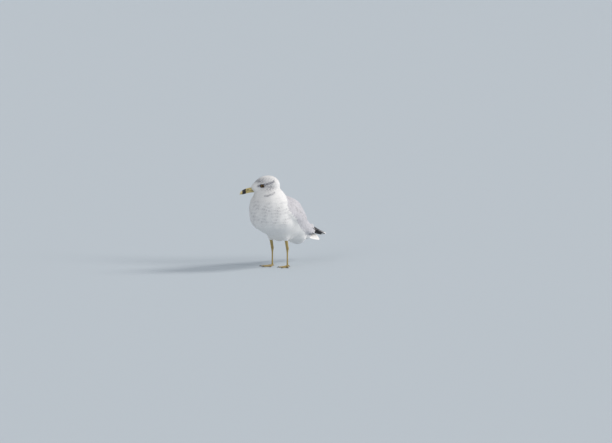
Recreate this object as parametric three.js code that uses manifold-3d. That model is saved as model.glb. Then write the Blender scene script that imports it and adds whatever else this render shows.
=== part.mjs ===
// A ring-billed gull at life size, standing at rest with its neck drawn in and its head turned
// to its own right. Millimetres, +Z up. The gull faces -Y, its left side is +X, and its soles
// stand on z = 0. Every solid is the outside of the plumage, out to the tips of the feathers.

import * as THREE from "three";
import { mergeVertices } from "three/addons/utils/BufferGeometryUtils.js";
import Module from "manifold-3d";

const wasm = await Module();
wasm.setup();

// ---------------------------------------------------------------- driving dimensions

const GAP = 0.3; // clearance between neighbouring solids
const HALF_STANCE = 25.5; // from the middle of the bird to the middle of each leg
const TOE_OUT = THREE.MathUtils.degToRad(9); // how far each foot turns outwards
const ANKLE_HEIGHT = 54;
const HEEL_BACK = 2; // the heels stand this far behind the middle of the stance
const BELLY_HEIGHT = 76; // underside of the belly between the legs
const HEAD_TURN = THREE.MathUtils.degToRad(52); // to the bird's right
const WING_TIP = new THREE.Vector3(3, 268, 74);
const TIP_DROP = 3; // the right wing tip lies this much lower, under the left one
const TAIL_TIP = new THREE.Vector3(0, 206, 77);
const MID_EYES = new THREE.Vector3(-22, -67, 243);
const EYE_RADIUS = 5;
const TERTIALS = 4;
const PRIMARIES_SHOWN = 5; // long feathers of the wing tip that show past the rest
const TAIL_PAIRS = 6;

const LEFT = 1;
const RIGHT = -1;
const X = new THREE.Vector3(1, 0, 0);
const Y = new THREE.Vector3(0, 1, 0);
const Z = new THREE.Vector3(0, 0, 1);

// ---------------------------------------------------------------- shape helpers

const point = (x, y, z) => new THREE.Vector3(x, y, z);
const mix = THREE.MathUtils.lerp;

// A smooth function of t through a few [t, value] knots; a plain number stays the same all along.
function along(knots) {
  if (typeof knots === "number") return () => knots;
  const points = knots.map(([t, value]) => point(t, value, 0));
  const curve = new THREE.CatmullRomCurve3(points, false, "centripetal");
  const steps = 120;
  const table = curve.getPoints(steps);
  return (t) => {
    const next = table.findIndex((p) => p.x >= t);
    if (next < 0) return table[steps].y;
    if (next === 0) return table[0].y;
    const [a, b] = [table[next - 1], table[next]];
    return mix(a.y, b.y, (t - a.x) / Math.max(b.x - a.x, 1e-9));
  };
}

// A closed form along a spine, from a sphere whose rings are moved to sections of the spine.
// wide, high and low are half sizes of the section to the side, upwards and downwards; ends are
// the shares of the length over which the two ends round off; roll turns the section outwards
// and bow bends its middle out. squareness 2 is an ellipse, and more is boxier. Sections stand
// square to the spine, or all face one given way.
function loft({ spine, side = X, facing, wide, high, low = high, ends = [0.5, 0.5], roll = 0, bow = 0,
  squareness = 2, around = 24, rings = 20 }) {
  const [widthAt, highAt, lowAt, rollAt, bowAt] = [wide, high, low, roll, bow].map(along);
  const form = new THREE.SphereGeometry(1, around, rings);
  const vertices = form.getAttribute("position");
  const power = 2 / squareness;
  const stretch = (value) => Math.sign(value) * Math.abs(value) ** power;
  for (let i = 0; i < vertices.count; i++) {
    const unit = new THREE.Vector3().fromBufferAttribute(vertices, i);
    const t = THREE.MathUtils.clamp((1 - unit.y) / 2, 0, 1);
    const ring = Math.hypot(unit.x, unit.z);
    const across = ring > 1e-6 ? unit.x / ring : 0;
    const upward = ring > 1e-6 ? -unit.z / ring : 0;
    const near = Math.min(t / ends[0], (1 - t) / ends[1], 1);
    const cap = Math.sqrt(Math.max(0, 1 - (1 - near) ** 2));
    const tangent = facing ?? spine.getTangentAt(t);
    const out = side.clone().addScaledVector(tangent, -side.dot(tangent)).normalize();
    const up = out.clone().cross(tangent);
    const turned = out.clone().applyAxisAngle(tangent, -rollAt(t));
    const raised = up.clone().applyAxisAngle(tangent, -rollAt(t));
    const half = upward > 0 ? highAt(t) : lowAt(t);
    const sideways = widthAt(t) * stretch(across) - bowAt(t) * upward ** 2;
    const p = spine.getPointAt(t)
      .addScaledVector(turned, cap * sideways)
      .addScaledVector(raised, cap * half * stretch(upward));
    vertices.setXYZ(i, p.x, p.y, p.z);
  }
  return welded(form);
}

// The same geometry with only its position, and its shared corners merged.
function welded(geometry) {
  const bare = new THREE.BufferGeometry()
    .setAttribute("position", geometry.getAttribute("position"))
    .setIndex(geometry.getIndex());
  return mergeVertices(bare, 1e-4);
}

// The way straight out of the form at each of its corners. Every face that meets there counts by
// its angle, so that the sharp edge of a blade points out along the blade.
function outwardAtCorners(geometry) {
  const position = geometry.getAttribute("position");
  const index = geometry.getIndex();
  const outward = Array.from({ length: position.count }, () => new THREE.Vector3());
  const face = new THREE.Triangle();
  for (let i = 0; i < index.count; i += 3) {
    const corners = [0, 1, 2].map((k) => index.getX(i + k));
    face.setFromAttributeAndIndices(position, ...corners);
    const normal = face.getNormal(new THREE.Vector3());
    const points = [face.a, face.b, face.c];
    corners.forEach((corner, k) => {
      const next = points[(k + 1) % 3].clone().sub(points[k]);
      const last = points[(k + 2) % 3].clone().sub(points[k]);
      outward[corner].addScaledVector(normal, next.angleTo(last));
    });
  }
  return outward.map((direction) => direction.normalize());
}

// The geometry swollen by a small distance, to cut a neighbour clear of it.
function grown(geometry, distance = GAP) {
  const copy = geometry.clone();
  const position = copy.getAttribute("position");
  outwardAtCorners(geometry).forEach((outward, i) => {
    const corner = new THREE.Vector3().fromBufferAttribute(position, i);
    corner.addScaledVector(outward, distance);
    position.setXYZ(i, corner.x, corner.y, corner.z);
  });
  return copy;
}

// The mirror image through the bird's middle plane, with its faces turned to point out again.
function mirrored(geometry) {
  const copy = geometry.clone();
  copy.scale(-1, 1, 1);
  const index = copy.getIndex().array;
  for (let i = 0; i < index.length; i += 3) {
    [index[i + 1], index[i + 2]] = [index[i + 2], index[i + 1]];
  }
  return copy;
}

function solid(geometry) {
  const merged = welded(geometry);
  return new wasm.Manifold(new wasm.Mesh({
    numProp: 3,
    vertProperties: new Float32Array(merged.getAttribute("position").array),
    triVerts: new Uint32Array(merged.getIndex().array),
  }));
}

// The solid, with slivers merged away and only its largest body kept.
function tidy(body) {
  const pieces = body.simplify(0.1).decompose();
  return pieces.reduce((best, piece) => (piece.volume() > best.volume() ? piece : best));
}

function geometryOf(body) {
  const { numProp, numVert, vertProperties, triVerts } = body.getMesh();
  const corners = new Float32Array(numVert * 3);
  for (let i = 0; i < numVert; i++) {
    corners.set(vertProperties.subarray(i * numProp, i * numProp + 3), 3 * i);
  }
  return new THREE.BufferGeometry()
    .setAttribute("position", new THREE.BufferAttribute(corners, 3))
    .setIndex(new THREE.BufferAttribute(new Uint32Array(triVerts), 1));
}

const joined = (bodies) => bodies.reduce((all, body) => all.add(body));
const joinedGrown = (forms) => joined(forms.map((form) => solid(grown(form))));

// All space on the side of a plane that its normal points to, half a gap away from the plane.
function halfSpace(through, normal) {
  const reach = 900;
  const block = new THREE.BoxGeometry(reach, reach, reach);
  block.translate(0, 0, reach / 2 + GAP / 2);
  block.applyQuaternion(new THREE.Quaternion().setFromUnitVectors(Z, normal.clone().normalize()));
  block.translate(through.x, through.y, through.z);
  return solid(block);
}

// ---------------------------------------------------------------- colours

const finish = (color, roughness) => new THREE.MeshStandardMaterial({ color, roughness, metalness: 0 });
const plumageWhite = finish(0xe9e6e6, 0.85);
const mantleGrey = finish(0xb9bac2, 0.8);
const flightBlack = finish(0x1c1a1d, 0.6);
const billYellow = finish(0xcdb95e, 0.35);
const legYellow = finish(0xb59a3e, 0.5);
const clawBlack = finish(0x1a1715, 0.35);
const eyeGlass = finish(0x1a1612, 0.05);

const gull = new THREE.Group();

function addNode(name, body, material) {
  const mesh = new THREE.Mesh(geometryOf(body), material);
  mesh.name = name;
  gull.add(mesh);
  return mesh;
}

// ---------------------------------------------------------------- breast, neck and trunk

// The full front of the bird, from the belly up through the breast and the drawn-in neck, in
// level sections.
const frontForm = loft({
  spine: new THREE.CatmullRomCurve3([
    point(0, -2, 74), point(-1, -16, 100), point(-2, -36, 132),
    point(-3, -46, 166), point(-4, -48, 204), point(-7, -55, 250),
  ]),
  facing: Z,
  wide: [
    [0, 34], [0.1, 40], [0.2, 47], [0.3, 58], [0.4, 63], [0.55, 62.5],
    [0.66, 60], [0.74, 56], [0.82, 46], [0.9, 40], [1, 36],
  ],
  high: [
    [0, 20], [0.1, 28], [0.18, 45], [0.26, 59], [0.36, 65], [0.53, 66],
    [0.66, 64], [0.74, 59], [0.82, 48], [0.9, 41], [1, 36],
  ],
  low: [[0, 40], [0.4, 57], [0.74, 52], [0.82, 44], [0.9, 41], [1, 38]],
  ends: [0.33, 0.2],
  around: 20,
  rings: 17,
});

// The trunk's axis runs from inside the breast, back and down to the root of the tail.
const trunkForm = loft({
  spine: new THREE.CatmullRomCurve3([
    point(0, -64, 164), point(0, -12, 142), point(0, 52, 112), point(0, 128, 88),
  ]),
  wide: [[0, 50], [0.25, 59], [0.45, 61], [0.65, 54], [0.85, 40], [1, 30]],
  high: [[0, 44], [0.25, 60], [0.45, 62], [0.65, 50], [0.85, 32], [1, 24]],
  low: [[0, 30], [0.25, 37], [0.45, 38], [0.65, 39], [0.85, 31], [1, 24]],
  ends: [0.3, 0.35],
  squareness: 2.05,
  around: 18,
  rings: 11,
});

// Loose white feathers behind the legs and around the vent, hanging lower than the belly.
const ventForm = loft({
  spine: new THREE.LineCurve3(point(0, 0, 100), point(0, 121, 82)),
  wide: [[0, 38], [0.5, 38], [1, 37]],
  high: 30,
  low: [[0, 16], [0.35, 17], [0.6, 20], [0.8, 29], [1, 44]],
  ends: [0.5, 0.24],
  around: 14,
  rings: 9,
});

// The white feathers under the root of the tail.
const undertailForm = loft({
  spine: new THREE.LineCurve3(point(0, 70, 96), point(0, 168, 76)),
  wide: [[0, 30], [0.5, 27], [1, 20]],
  high: [[0, 14], [1, 9]],
  low: [[0, 22], [0.5, 18], [1, 10]],
  ends: [0.5, 0.2],
  around: 12,
  rings: 6,
});

// ---------------------------------------------------------------- head

// The head's own frame: forward along the bill's heading, left, and up, from between the eyes.
const headForward = Y.clone().negate().applyAxisAngle(Z, -HEAD_TURN);
const headLeft = Z.clone().cross(headForward);
const inHead = (forward, left, up) => MID_EYES.clone()
  .addScaledVector(headForward, forward).addScaledVector(headLeft, left).addScaledVector(Z, up);

const headForm = loft({
  spine: new THREE.LineCurve3(inHead(33, 0, -8), inHead(-54.5, 0, 3)),
  side: headLeft,
  wide: [[0, 17], [0.15, 17], [0.38, 20.5], [0.56, 25.5], [0.75, 30], [1, 35]],
  high: [[0, 16], [0.12, 20], [0.21, 25], [0.33, 28.5], [0.47, 31], [0.65, 32.5], [1, 36]],
  low: [[0, 17], [0.15, 21], [0.5, 25], [1, 34]],
  around: 18,
  rings: 14,
});

const bodyForms = [frontForm, trunkForm, ventForm, undertailForm, headForm];
const wholeBody = joined(bodyForms.map(solid));

// ---------------------------------------------------------------- eyes and bill

const eyeForms = [LEFT, RIGHT].map((hand) => {
  const eye = new THREE.SphereGeometry(EYE_RADIUS, 10, 7);
  const centre = inHead(0, hand * 17, 0.5);
  return welded(eye.translate(centre.x, centre.y, centre.z));
});

// The whole bill, closed: its spine leaves the face and hooks down at the tip.
const billForm = loft({
  spine: new THREE.CatmullRomCurve3([
    [14, -8.8], [30, -11.8], [41, -14.8], [51, -17.5], [57, -19.5], [61, -21.8], [64, -25.5],
  ].map(([forward, up]) => inHead(forward, 0, up))),
  side: headLeft,
  wide: [[0, 6.5], [0.3, 5.4], [0.52, 4.2], [0.72, 3.4], [0.85, 2.8], [1, 1.4]],
  high: [[0, 8.2], [0.31, 7], [0.52, 6.5], [0.72, 6.2], [0.83, 5.2], [0.92, 3.6], [1, 2.2]],
  low: [[0, 8.2], [0.31, 7], [0.52, 6.7], [0.7, 7], [0.83, 5.2], [0.92, 3.2], [1, 1.6]],
  ends: [0.1, 0.09],
  around: 12,
  rings: 12,
});

// The slit between the two halves of the bill, as a thin curved sheet across it.
function gapeSheet() {
  const line = new THREE.CatmullRomCurve3([
    [6, -12.2], [20, -12.8], [30, -13.6], [42, -15.6],
    [52, -18.6], [58, -21.2], [61.5, -24], [62.5, -32],
  ].map(([forward, up]) => point(forward, up, 0))).getPoints(10);
  const upper = line.map((p) => new THREE.Vector2(p.x, p.y + GAP / 2));
  const lower = line.map((p) => new THREE.Vector2(p.x, p.y - GAP / 2)).reverse();
  const sheet = new THREE.ExtrudeGeometry(new THREE.Shape([...upper, ...lower]), {
    depth: 40, bevelEnabled: false, steps: 1,
  });
  sheet.translate(0, 0, -20);
  const frame = new THREE.Matrix4().makeBasis(headForward, Z, headForward.clone().cross(Z));
  return solid(sheet.applyMatrix4(frame.setPosition(MID_EYES)));
}

const eyesGrown = joinedGrown(eyeForms);
const billGrown = solid(grown(billForm));
const bill = solid(billForm).subtract(solid(grown(headForm)));
const billHalves = bill.subtract(gapeSheet()).decompose()
  .sort((a, b) => b.volume() - a.volume()).slice(0, 2)
  .sort((a, b) => b.boundingBox().max[2] - a.boundingBox().max[2]);

// ---------------------------------------------------------------- mantle and wings

// The grey saddle of back and shoulder feathers, which lies over both wings.
const mantleForm = loft({
  spine: new THREE.CatmullRomCurve3([
    point(0, -34, 186), point(0, 22, 180), point(0, 72, 148), point(0, 134, 110),
  ]),
  wide: [[0, 42], [0.3, 53], [0.6, 47], [1, 30]],
  high: [[0, 20], [0.3, 29], [0.6, 20], [1, 11]],
  low: 16,
  ends: [0.35, 0.35],
  around: 14,
  rings: 12,
});

// One folded left wing, from the wrist at the shoulder to the bases of the long feathers.
const wingForm = loft({
  spine: new THREE.CatmullRomCurve3([
    point(50, -66, 172), point(61, -10, 158), point(49, 66, 128),
    point(34, 124, 104), point(20, 172, 90),
  ]),
  wide: [[0, 9], [0.35, 10], [0.7, 7], [1, 4]],
  high: [[0, 28], [0.22, 33], [0.4, 31], [0.53, 22], [0.63, 15], [0.78, 9], [1, 8]],
  low: [[0, 24], [0.22, 24], [0.4, 29], [0.55, 28], [0.75, 20], [1, 11]],
  roll: [[0, 0.15], [0.4, 0.25], [0.7, 0.45], [1, 0.6]],
  bow: [[0, 8], [0.5, 8], [1, 2]],
  ends: [0.2, 0.12],
  around: 14,
  rings: 12,
});

// A single long feather: a thin blade along its shaft, with a rounded tip. roll turns it from
// lying flat towards standing on its outer edge.
const feather = ({ shaft, thickness, width, roll = 0, tip = 0.12 }) => loft({
  spine: new THREE.CatmullRomCurve3(shaft),
  wide: width,
  high: thickness / 2,
  roll,
  ends: [0.1, tip],
  squareness: 2.4,
  around: 6,
  rings: 5,
});

// The broad inner feathers of the left wing, whose tips close over the back as a white crescent.
const tertialForms = Array.from({ length: TERTIALS }, (_, i) => {
  const share = i / (TERTIALS - 1); // 0 for the outermost and shortest, 1 for the innermost
  const middle = point(mix(34, 17, share), mix(118, 132, share), mix(99, 109, share));
  const tip = point(mix(24, 5, share), mix(160, 186, share), mix(91, 107, share));
  return feather({
    shaft: [point(40, 80, 116), middle, tip],
    thickness: 2.4,
    width: [[0, 9], [0.6, 12], [1, 11]],
    roll: mix(-0.95, -0.55, share),
    tip: 0.18,
  });
});

// The long black feathers of one wing tip, the shortest on the outside of the fold.
const primaryForms = (hand) => Array.from({ length: PRIMARIES_SHOWN }, (_, i) => {
  const share = i / (PRIMARIES_SHOWN - 1); // 0 for the shortest, 1 for the longest
  const root = point(mix(26, 16, share), 140, mix(98, 93, share));
  const drop = hand === LEFT ? 0 : TIP_DROP;
  const shortfall = mix(0.5, 0, share ** 0.8); // how far the tip falls short of the longest one
  const tip = WING_TIP.clone().lerp(root, shortfall);
  tip.add(point(mix(3.2, 0, share), 0, mix(3, 0, share) - drop));
  const form = feather({
    shaft: [root, root.clone().lerp(tip, 0.5).add(point(1, 0, 5)), tip],
    thickness: 2,
    width: [[0, 9], [0.5, 8.5], [1, 5.5]],
    roll: -0.8,
  });
  return hand === LEFT ? form : mirrored(form);
});

// ---------------------------------------------------------------- tail

// The closed tail is a low roof: its middle feathers lie flat on top, and each feather further out
// lies lower and steeper.
const tailRoot = point(0, 112, 97);
const tailForms = [LEFT, RIGHT].flatMap((hand) => Array.from({ length: TAIL_PAIRS }, (_, i) => {
  const spread = i + 0.5;
  const root = tailRoot.clone().add(point(hand * spread * 1.4, 0, -0.1 * spread ** 2));
  const tip = TAIL_TIP.clone().add(point(hand * spread * 3.1, -0.4 * spread, -0.4 * spread ** 2));
  return feather({
    shaft: [root, root.clone().lerp(tip, 0.5).add(point(0, 0, -6)), tip],
    thickness: 1.8,
    width: [[0, 4.5], [0.6, 5.5], [1, 6]],
    roll: -hand * Math.atan(0.26 * spread),
    tip: 0.05,
  });
}));

// ---------------------------------------------------------------- legs and feet

const legTop = BELLY_HEIGHT + 22;
const onLeg = (hand, back, height) => point(hand * HALF_STANCE, back, height);

// The feathered thigh, which shows as a short cuff below the belly.
const thighForm = (hand) => loft({
  spine: new THREE.LineCurve3(onLeg(hand, -11, legTop + 14), onLeg(hand, -3, BELLY_HEIGHT - 3)),
  wide: [[0, 15], [0.6, 11], [1, 8]],
  high: [[0, 17], [0.6, 12], [1, 9]],
  around: 8,
  rings: 7,
});

// Bare shin, ankle knob and shank in one bent rod.
const legForm = (hand) => loft({
  spine: new THREE.CatmullRomCurve3([
    onLeg(hand, -8, legTop), onLeg(hand, -1, ANKLE_HEIGHT + 10), onLeg(hand, 2, ANKLE_HEIGHT),
    onLeg(hand, 2, ANKLE_HEIGHT - 10), onLeg(hand, HEEL_BACK, 4),
  ], false, "centripetal"),
  wide: [[0, 3.2], [0.35, 3], [0.47, 4], [0.6, 2.2], [0.85, 2.1], [1, 3.2]],
  high: [[0, 3.6], [0.35, 3.4], [0.47, 4.6], [0.6, 2.9], [0.85, 2.7], [1, 3.6]],
  ends: [0.03, 0.06],
  around: 8,
  rings: 10,
});

// Each toe's length and heading, from the inner toe to the outer; the hind toe is separate.
const FRONT_TOES = [
  { name: "inner", length: 33, turn: -0.5 },
  { name: "middle", length: 41, turn: -0.02 },
  { name: "outer", length: 38, turn: 0.42 },
];
const TOE_RADIUS = 2.3;
const CLAW_LENGTH = 6.5;
const WEB_THICKNESS = 1.1;

// A point of one foot, by its distance ahead of the heel along a heading and its height.
function onFoot(hand, turn, ahead, height) {
  const heading = hand * (TOE_OUT + turn);
  return point(
    hand * HALF_STANCE + ahead * Math.sin(heading), HEEL_BACK - ahead * Math.cos(heading), height,
  );
}

function toeForm(hand, turn, length) {
  return loft({
    spine: new THREE.CatmullRomCurve3([
      onFoot(hand, turn, -2, 3.6), onFoot(hand, turn, length * 0.3, 2.2),
      onFoot(hand, turn, length * 0.7, 1.7), onFoot(hand, turn, length, 1.3),
    ]),
    wide: [[0, TOE_RADIUS * 1.2], [0.5, TOE_RADIUS], [1, TOE_RADIUS * 0.8]],
    high: [[0, TOE_RADIUS * 1.2], [0.5, TOE_RADIUS * 0.9], [1, TOE_RADIUS * 0.75]],
    low: TOE_RADIUS,
    ends: [0.08, 0.07],
    around: 6,
    rings: 5,
  });
}

// The web between the front toes, with its front edges curved in from claw to claw.
function webForm(hand) {
  const flat = (toe, ahead) => {
    const p = onFoot(hand, toe.turn, ahead, 0);
    return new THREE.Vector2(p.x, p.y);
  };
  const outline = new THREE.Shape();
  const heelPoint = onFoot(hand, 0, 1, 0);
  outline.moveTo(heelPoint.x, heelPoint.y);
  FRONT_TOES.forEach((toe, i) => {
    const corner = flat(toe, toe.length - 4);
    if (i === 0) {
      outline.lineTo(corner.x, corner.y);
      return;
    }
    const before = FRONT_TOES[i - 1];
    const between = (before.turn + toe.turn) / 2;
    const hollow = onFoot(hand, between, 0.72 * Math.min(before.length, toe.length), 0);
    outline.quadraticCurveTo(hollow.x, hollow.y, corner.x, corner.y);
  });
  outline.closePath();
  return new THREE.ExtrudeGeometry(outline, {
    depth: WEB_THICKNESS, bevelEnabled: false, curveSegments: 3,
  });
}

const HIND_TOE = { name: "hind", turn: Math.PI - 0.35, length: 9 };

const hindToeForm = (hand) => loft({
  spine: new THREE.LineCurve3(
    onFoot(hand, 0, -1, 6), onFoot(hand, HIND_TOE.turn, HIND_TOE.length, 1.1),
  ),
  wide: [[0, 2.2], [1, 1.4]],
  high: [[0, 2.2], [1, 1.4]],
  ends: [0.12, 0.16],
  around: 6,
  rings: 5,
});

function clawForm(hand, toe, height, length, radius) {
  const at = (ahead, z) => onFoot(hand, toe.turn, ahead, z);
  return loft({
    spine: new THREE.QuadraticBezierCurve3(
      at(toe.length - 2, height), at(toe.length + length * 0.5, height + 0.7),
      at(toe.length + length, radius * 0.35 + 0.1),
    ),
    wide: [[0, radius], [1, radius * 0.35]],
    high: [[0, radius * 1.15], [1, radius * 0.35]],
    low: [[0, radius * 0.9], [1, radius * 0.3]],
    ends: [0.1, 0.2],
    around: 6,
    rings: 4,
  });
}

const aboveFloor = halfSpace(point(0, 0, -GAP / 2), Z);

// ---------------------------------------------------------------- fitting the solids together

const thighs = [LEFT, RIGHT].map(thighForm);
const legs = [LEFT, RIGHT].map(legForm);
const bodyGrown = joinedGrown(bodyForms);
const mantleGrown = solid(grown(mantleForm));
const tailBody = joined(tailForms.map(solid));

// The planes that part the head from the neck, and the neck from the trunk.
const throatPlane = { through: point(-14, -60, 217), normal: point(0.12, 0.1, 1) };
const neckPlane = { through: point(0, -45, 195), normal: point(0, -0.18, 1) };
const abovePlane = ({ through, normal }) => halfSpace(through, normal);
const belowPlane = ({ through, normal }) => halfSpace(through, normal.clone().negate());

const fleshOnly = wholeBody.subtract(joinedGrown(legs)).subtract(joinedGrown(thighs));
const head = fleshOnly.intersect(abovePlane(throatPlane)).subtract(eyesGrown).subtract(billGrown);
const neck = fleshOnly.intersect(belowPlane(throatPlane)).intersect(abovePlane(neckPlane));
const trunk = fleshOnly.intersect(belowPlane(neckPlane));

addNode("head", tidy(head), plumageWhite);
addNode("neck", tidy(neck), plumageWhite);
addNode("trunk", tidy(trunk), plumageWhite);
addNode("bill_upper", tidy(billHalves[0]), billYellow);
addNode("bill_lower", tidy(billHalves[1]), billYellow);
addNode("mantle", tidy(solid(mantleForm).subtract(bodyGrown)), mantleGrey);
addNode("tail", tidy(tailBody.subtract(bodyGrown)), plumageWhite);

const tailGrown = joinedGrown(tailForms);
const clearOfBody = (body) => body.subtract(bodyGrown).subtract(mantleGrown).subtract(tailGrown);
const leftWing = [wingForm, ...tertialForms];
const rightWing = leftWing.map(mirrored);
const [leftTip, rightTip] = [LEFT, RIGHT].map((hand) => joined(primaryForms(hand).map(solid)));
const leftTipGrown = joinedGrown(primaryForms(LEFT));
const wingsGrown = joinedGrown([...leftWing, ...rightWing]);

["left", "right"].forEach((name, i) => {
  const hand = [LEFT, RIGHT][i];
  addNode(`eye_${name}`, solid(eyeForms[i]), eyeGlass);

  const wing = clearOfBody(joined([leftWing, rightWing][i].map(solid)));
  addNode(`wing_${name}`, tidy(i ? wing.subtract(joinedGrown(leftWing)) : wing), mantleGrey);
  const tip = clearOfBody(i ? rightTip.subtract(leftTipGrown) : leftTip).subtract(wingsGrown);
  addNode(`primaries_${name}`, tidy(tip), flightBlack);

  addNode(`thigh_${name}`, tidy(solid(thighs[i]).subtract(solid(grown(legs[i])))), plumageWhite);

  const toes = FRONT_TOES.map(({ turn, length }) => toeForm(hand, turn, length));
  const footForms = [...toes, hindToeForm(hand)];
  const foot = joined([...footForms.map(solid), solid(webForm(hand))]).intersect(aboveFloor);
  addNode(`leg_${name}`, tidy(solid(legs[i]).subtract(joinedGrown(footForms))), legYellow);

  const claws = FRONT_TOES.map((toe) => [toe, clawForm(hand, toe, 1.9, CLAW_LENGTH, 1.4)]);
  claws.push([HIND_TOE, clawForm(hand, HIND_TOE, 0.7, CLAW_LENGTH * 0.5, 0.9)]);
  const clawless = foot.subtract(joinedGrown(claws.map(([, form]) => form)));
  addNode(`foot_${name}`, tidy(clawless), legYellow);
  claws.forEach(([toe, form]) => {
    const claw = solid(form).intersect(aboveFloor);
    addNode(`claw_${name}_${toe.name}`, tidy(claw), clawBlack);
  });
});

// The origin is the middle of the standing bird's box, on the floor.
const box = new THREE.Box3().setFromObject(gull);
const middle = box.getCenter(new THREE.Vector3());
gull.position.set(-middle.x, -middle.y, -box.min.z);

export default gull;
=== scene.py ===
# %% [markdown]
# # A ring-billed gull, dressed
#
# A gull at rest is a smooth, heavy shape that is nearly all feathers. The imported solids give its
# size and stance. This lesson makes one skin a coat's depth within them, lays thousands of feathers
# over it along their natural lie, and makes the hard parts, which are the bill, eyes, legs and
# claws, as fine meshes in the same places.
#
# Everything is in metres: +Z is up, the gull faces -Y, and its left side is +X. Sizes are written
# in millimetres, because a gull is small, and are turned into metres with `MM`.

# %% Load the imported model
import math

import bmesh
import bpy
import numpy as np
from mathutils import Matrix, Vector
from mathutils.bvhtree import BVHTree
from mathutils.kdtree import KDTree


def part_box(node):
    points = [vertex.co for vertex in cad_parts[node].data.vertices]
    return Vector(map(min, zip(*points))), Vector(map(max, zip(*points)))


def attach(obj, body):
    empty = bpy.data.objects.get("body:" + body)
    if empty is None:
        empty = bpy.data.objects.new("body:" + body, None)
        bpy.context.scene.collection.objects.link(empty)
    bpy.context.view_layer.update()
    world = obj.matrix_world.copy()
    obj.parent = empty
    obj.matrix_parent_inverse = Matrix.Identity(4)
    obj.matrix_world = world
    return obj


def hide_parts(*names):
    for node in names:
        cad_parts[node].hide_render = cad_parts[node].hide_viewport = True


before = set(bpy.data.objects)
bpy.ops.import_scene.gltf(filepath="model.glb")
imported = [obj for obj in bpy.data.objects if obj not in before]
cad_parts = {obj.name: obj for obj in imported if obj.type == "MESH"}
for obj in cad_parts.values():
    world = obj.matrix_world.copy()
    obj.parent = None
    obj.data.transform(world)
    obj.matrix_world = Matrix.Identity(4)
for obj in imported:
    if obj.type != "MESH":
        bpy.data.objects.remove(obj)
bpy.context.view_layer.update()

# %% [markdown]
# ## Landmarks
#
# Every part of a bird is placed from a few bones. Here the two eyes fix the head, and the place
# between the heels fixes the rest. `at` gives a place on the body in millimetres from the floor
# between the heels, and `in_head` gives one in the turned head: ahead along the bill, to the left
# and up, from between the eyes. `onto_body` is `at` for a whole array of points, and two more
# functions turn such arrays the other way.

# %% Places on the body and in the head
MM = 0.001
BETWEEN_EYES = (-22, -67, 243.5)  # in millimetres from between the heels
LEFT, RIGHT = 1, -1
SIDES = ((LEFT, "left"), (RIGHT, "right"))
UP = Vector((0, 0, 1))


def middle_of(node):
    low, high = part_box(node)
    return (low + high) / 2


eye_centres = {hand: middle_of(f"eye_{name}") for hand, name in SIDES}
head_left = (eye_centres[LEFT] - eye_centres[RIGHT]).normalized()
head_forward = head_left.cross(UP)
between_eyes = (eye_centres[LEFT] + eye_centres[RIGHT]) / 2
home = between_eyes - Vector(BETWEEN_EYES) * MM
HEAD_AXES = np.array([head_forward, head_left, UP])


def at(x, y, z):
    return home + Vector((x, y, z)) * MM


def onto_body(points):
    return np.array(home) + points * MM


def in_head(forward, left, up):
    return between_eyes + (head_forward * forward + head_left * left + UP * up) * MM


def body_mm(points):
    return (points - np.array(home)) / MM


def head_mm(points):
    return (points - np.array(between_eyes)) @ HEAD_AXES.T / MM


print("between the heels:", [round(v, 4) for v in home])

# %% [markdown]
# ## Small tools for shapes
#
# A living form has few straight lines, so most sizes here are smooth functions through a few
# knots. `smooth_path` runs a Catmull-Rom curve through given points and returns evenly
# spaced places on it, and `knots` does the same for a size that changes along a part. Many pieces
# are grids of points, some of them closed into a ring or a thin sheet, so the faces of such grids
# are worked out once here. What comes in pairs is made for the left side and mirrored.

# %% Smooth curves and sizes
STEPS_PER_SPAN = 24  # places worked out between two points of a curve
STEPS_PER_SIZE = 200  # places kept of a size that changes along a part


def smooth_path(points, count):
    """Evenly spaced points on a smooth curve through the given ones, as an array of rows."""
    p = np.array([list(q) for q in points], float)
    p = np.vstack([2 * p[0] - p[1], p, 2 * p[-1] - p[-2]])
    fine = []
    for a, b, c, d in zip(p[:-3], p[1:-2], p[2:-1], p[3:]):
        t = np.linspace(0, 1, STEPS_PER_SPAN, endpoint=False)[:, None]
        fine.append(0.5 * (2 * b + (c - a) * t + (2 * a - 5 * b + 4 * c - d) * t**2
                           + (3 * b - a - 3 * c + d) * t**3))
    fine = np.vstack([*fine, p[-2:-1]])
    run = np.concatenate([[0], np.cumsum(np.linalg.norm(np.diff(fine, axis=0), axis=1))])
    even = np.linspace(0, run[-1], count)
    return np.stack([np.interp(even, run, fine[:, k]) for k in range(fine.shape[1])], 1)


def knots(*pairs):
    """A smooth function through (place, value) pairs."""
    line = smooth_path(pairs, STEPS_PER_SIZE)
    return lambda place: np.interp(place, line[:, 0], line[:, 1])


def smoothstep(low, high, value):
    t = np.clip((np.asarray(value, float) - low) / (high - low), 0, 1)
    return t * t * (3 - 2 * t)


def mix(a, b, share):
    return a + (b - a) * share


def unit(rows):
    return rows / np.maximum(np.linalg.norm(rows, axis=-1, keepdims=True), 1e-9)


def linear(red, green, blue):
    """A colour as the eye names it, 0 to 255, turned into the light that it reflects."""
    c = np.array([red, green, blue]) / 255
    return np.where(c <= 0.04045, c / 12.92, ((c + 0.055) / 1.055) ** 2.4)


bow = smooth_path([(0, 0, 0), (1, 1, 0), (2, 0, 0)], 5)
print("smooth path of 5 points:", bow.round(2).tolist())


# %% Faces of grids, rings and thin sheets
def grid_faces(rows, columns, count=1):
    """Quads of a grid, repeated for count grids whose points follow each other."""
    r, c = np.meshgrid(np.arange(rows - 1), np.arange(columns - 1), indexing="ij")
    first = (r * columns + c).ravel()
    quads = np.stack([first, first + 1, first + columns + 1, first + columns], 1)
    return (quads[None] + (np.arange(count) * rows * columns)[:, None, None]).reshape(-1, 4)


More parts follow.
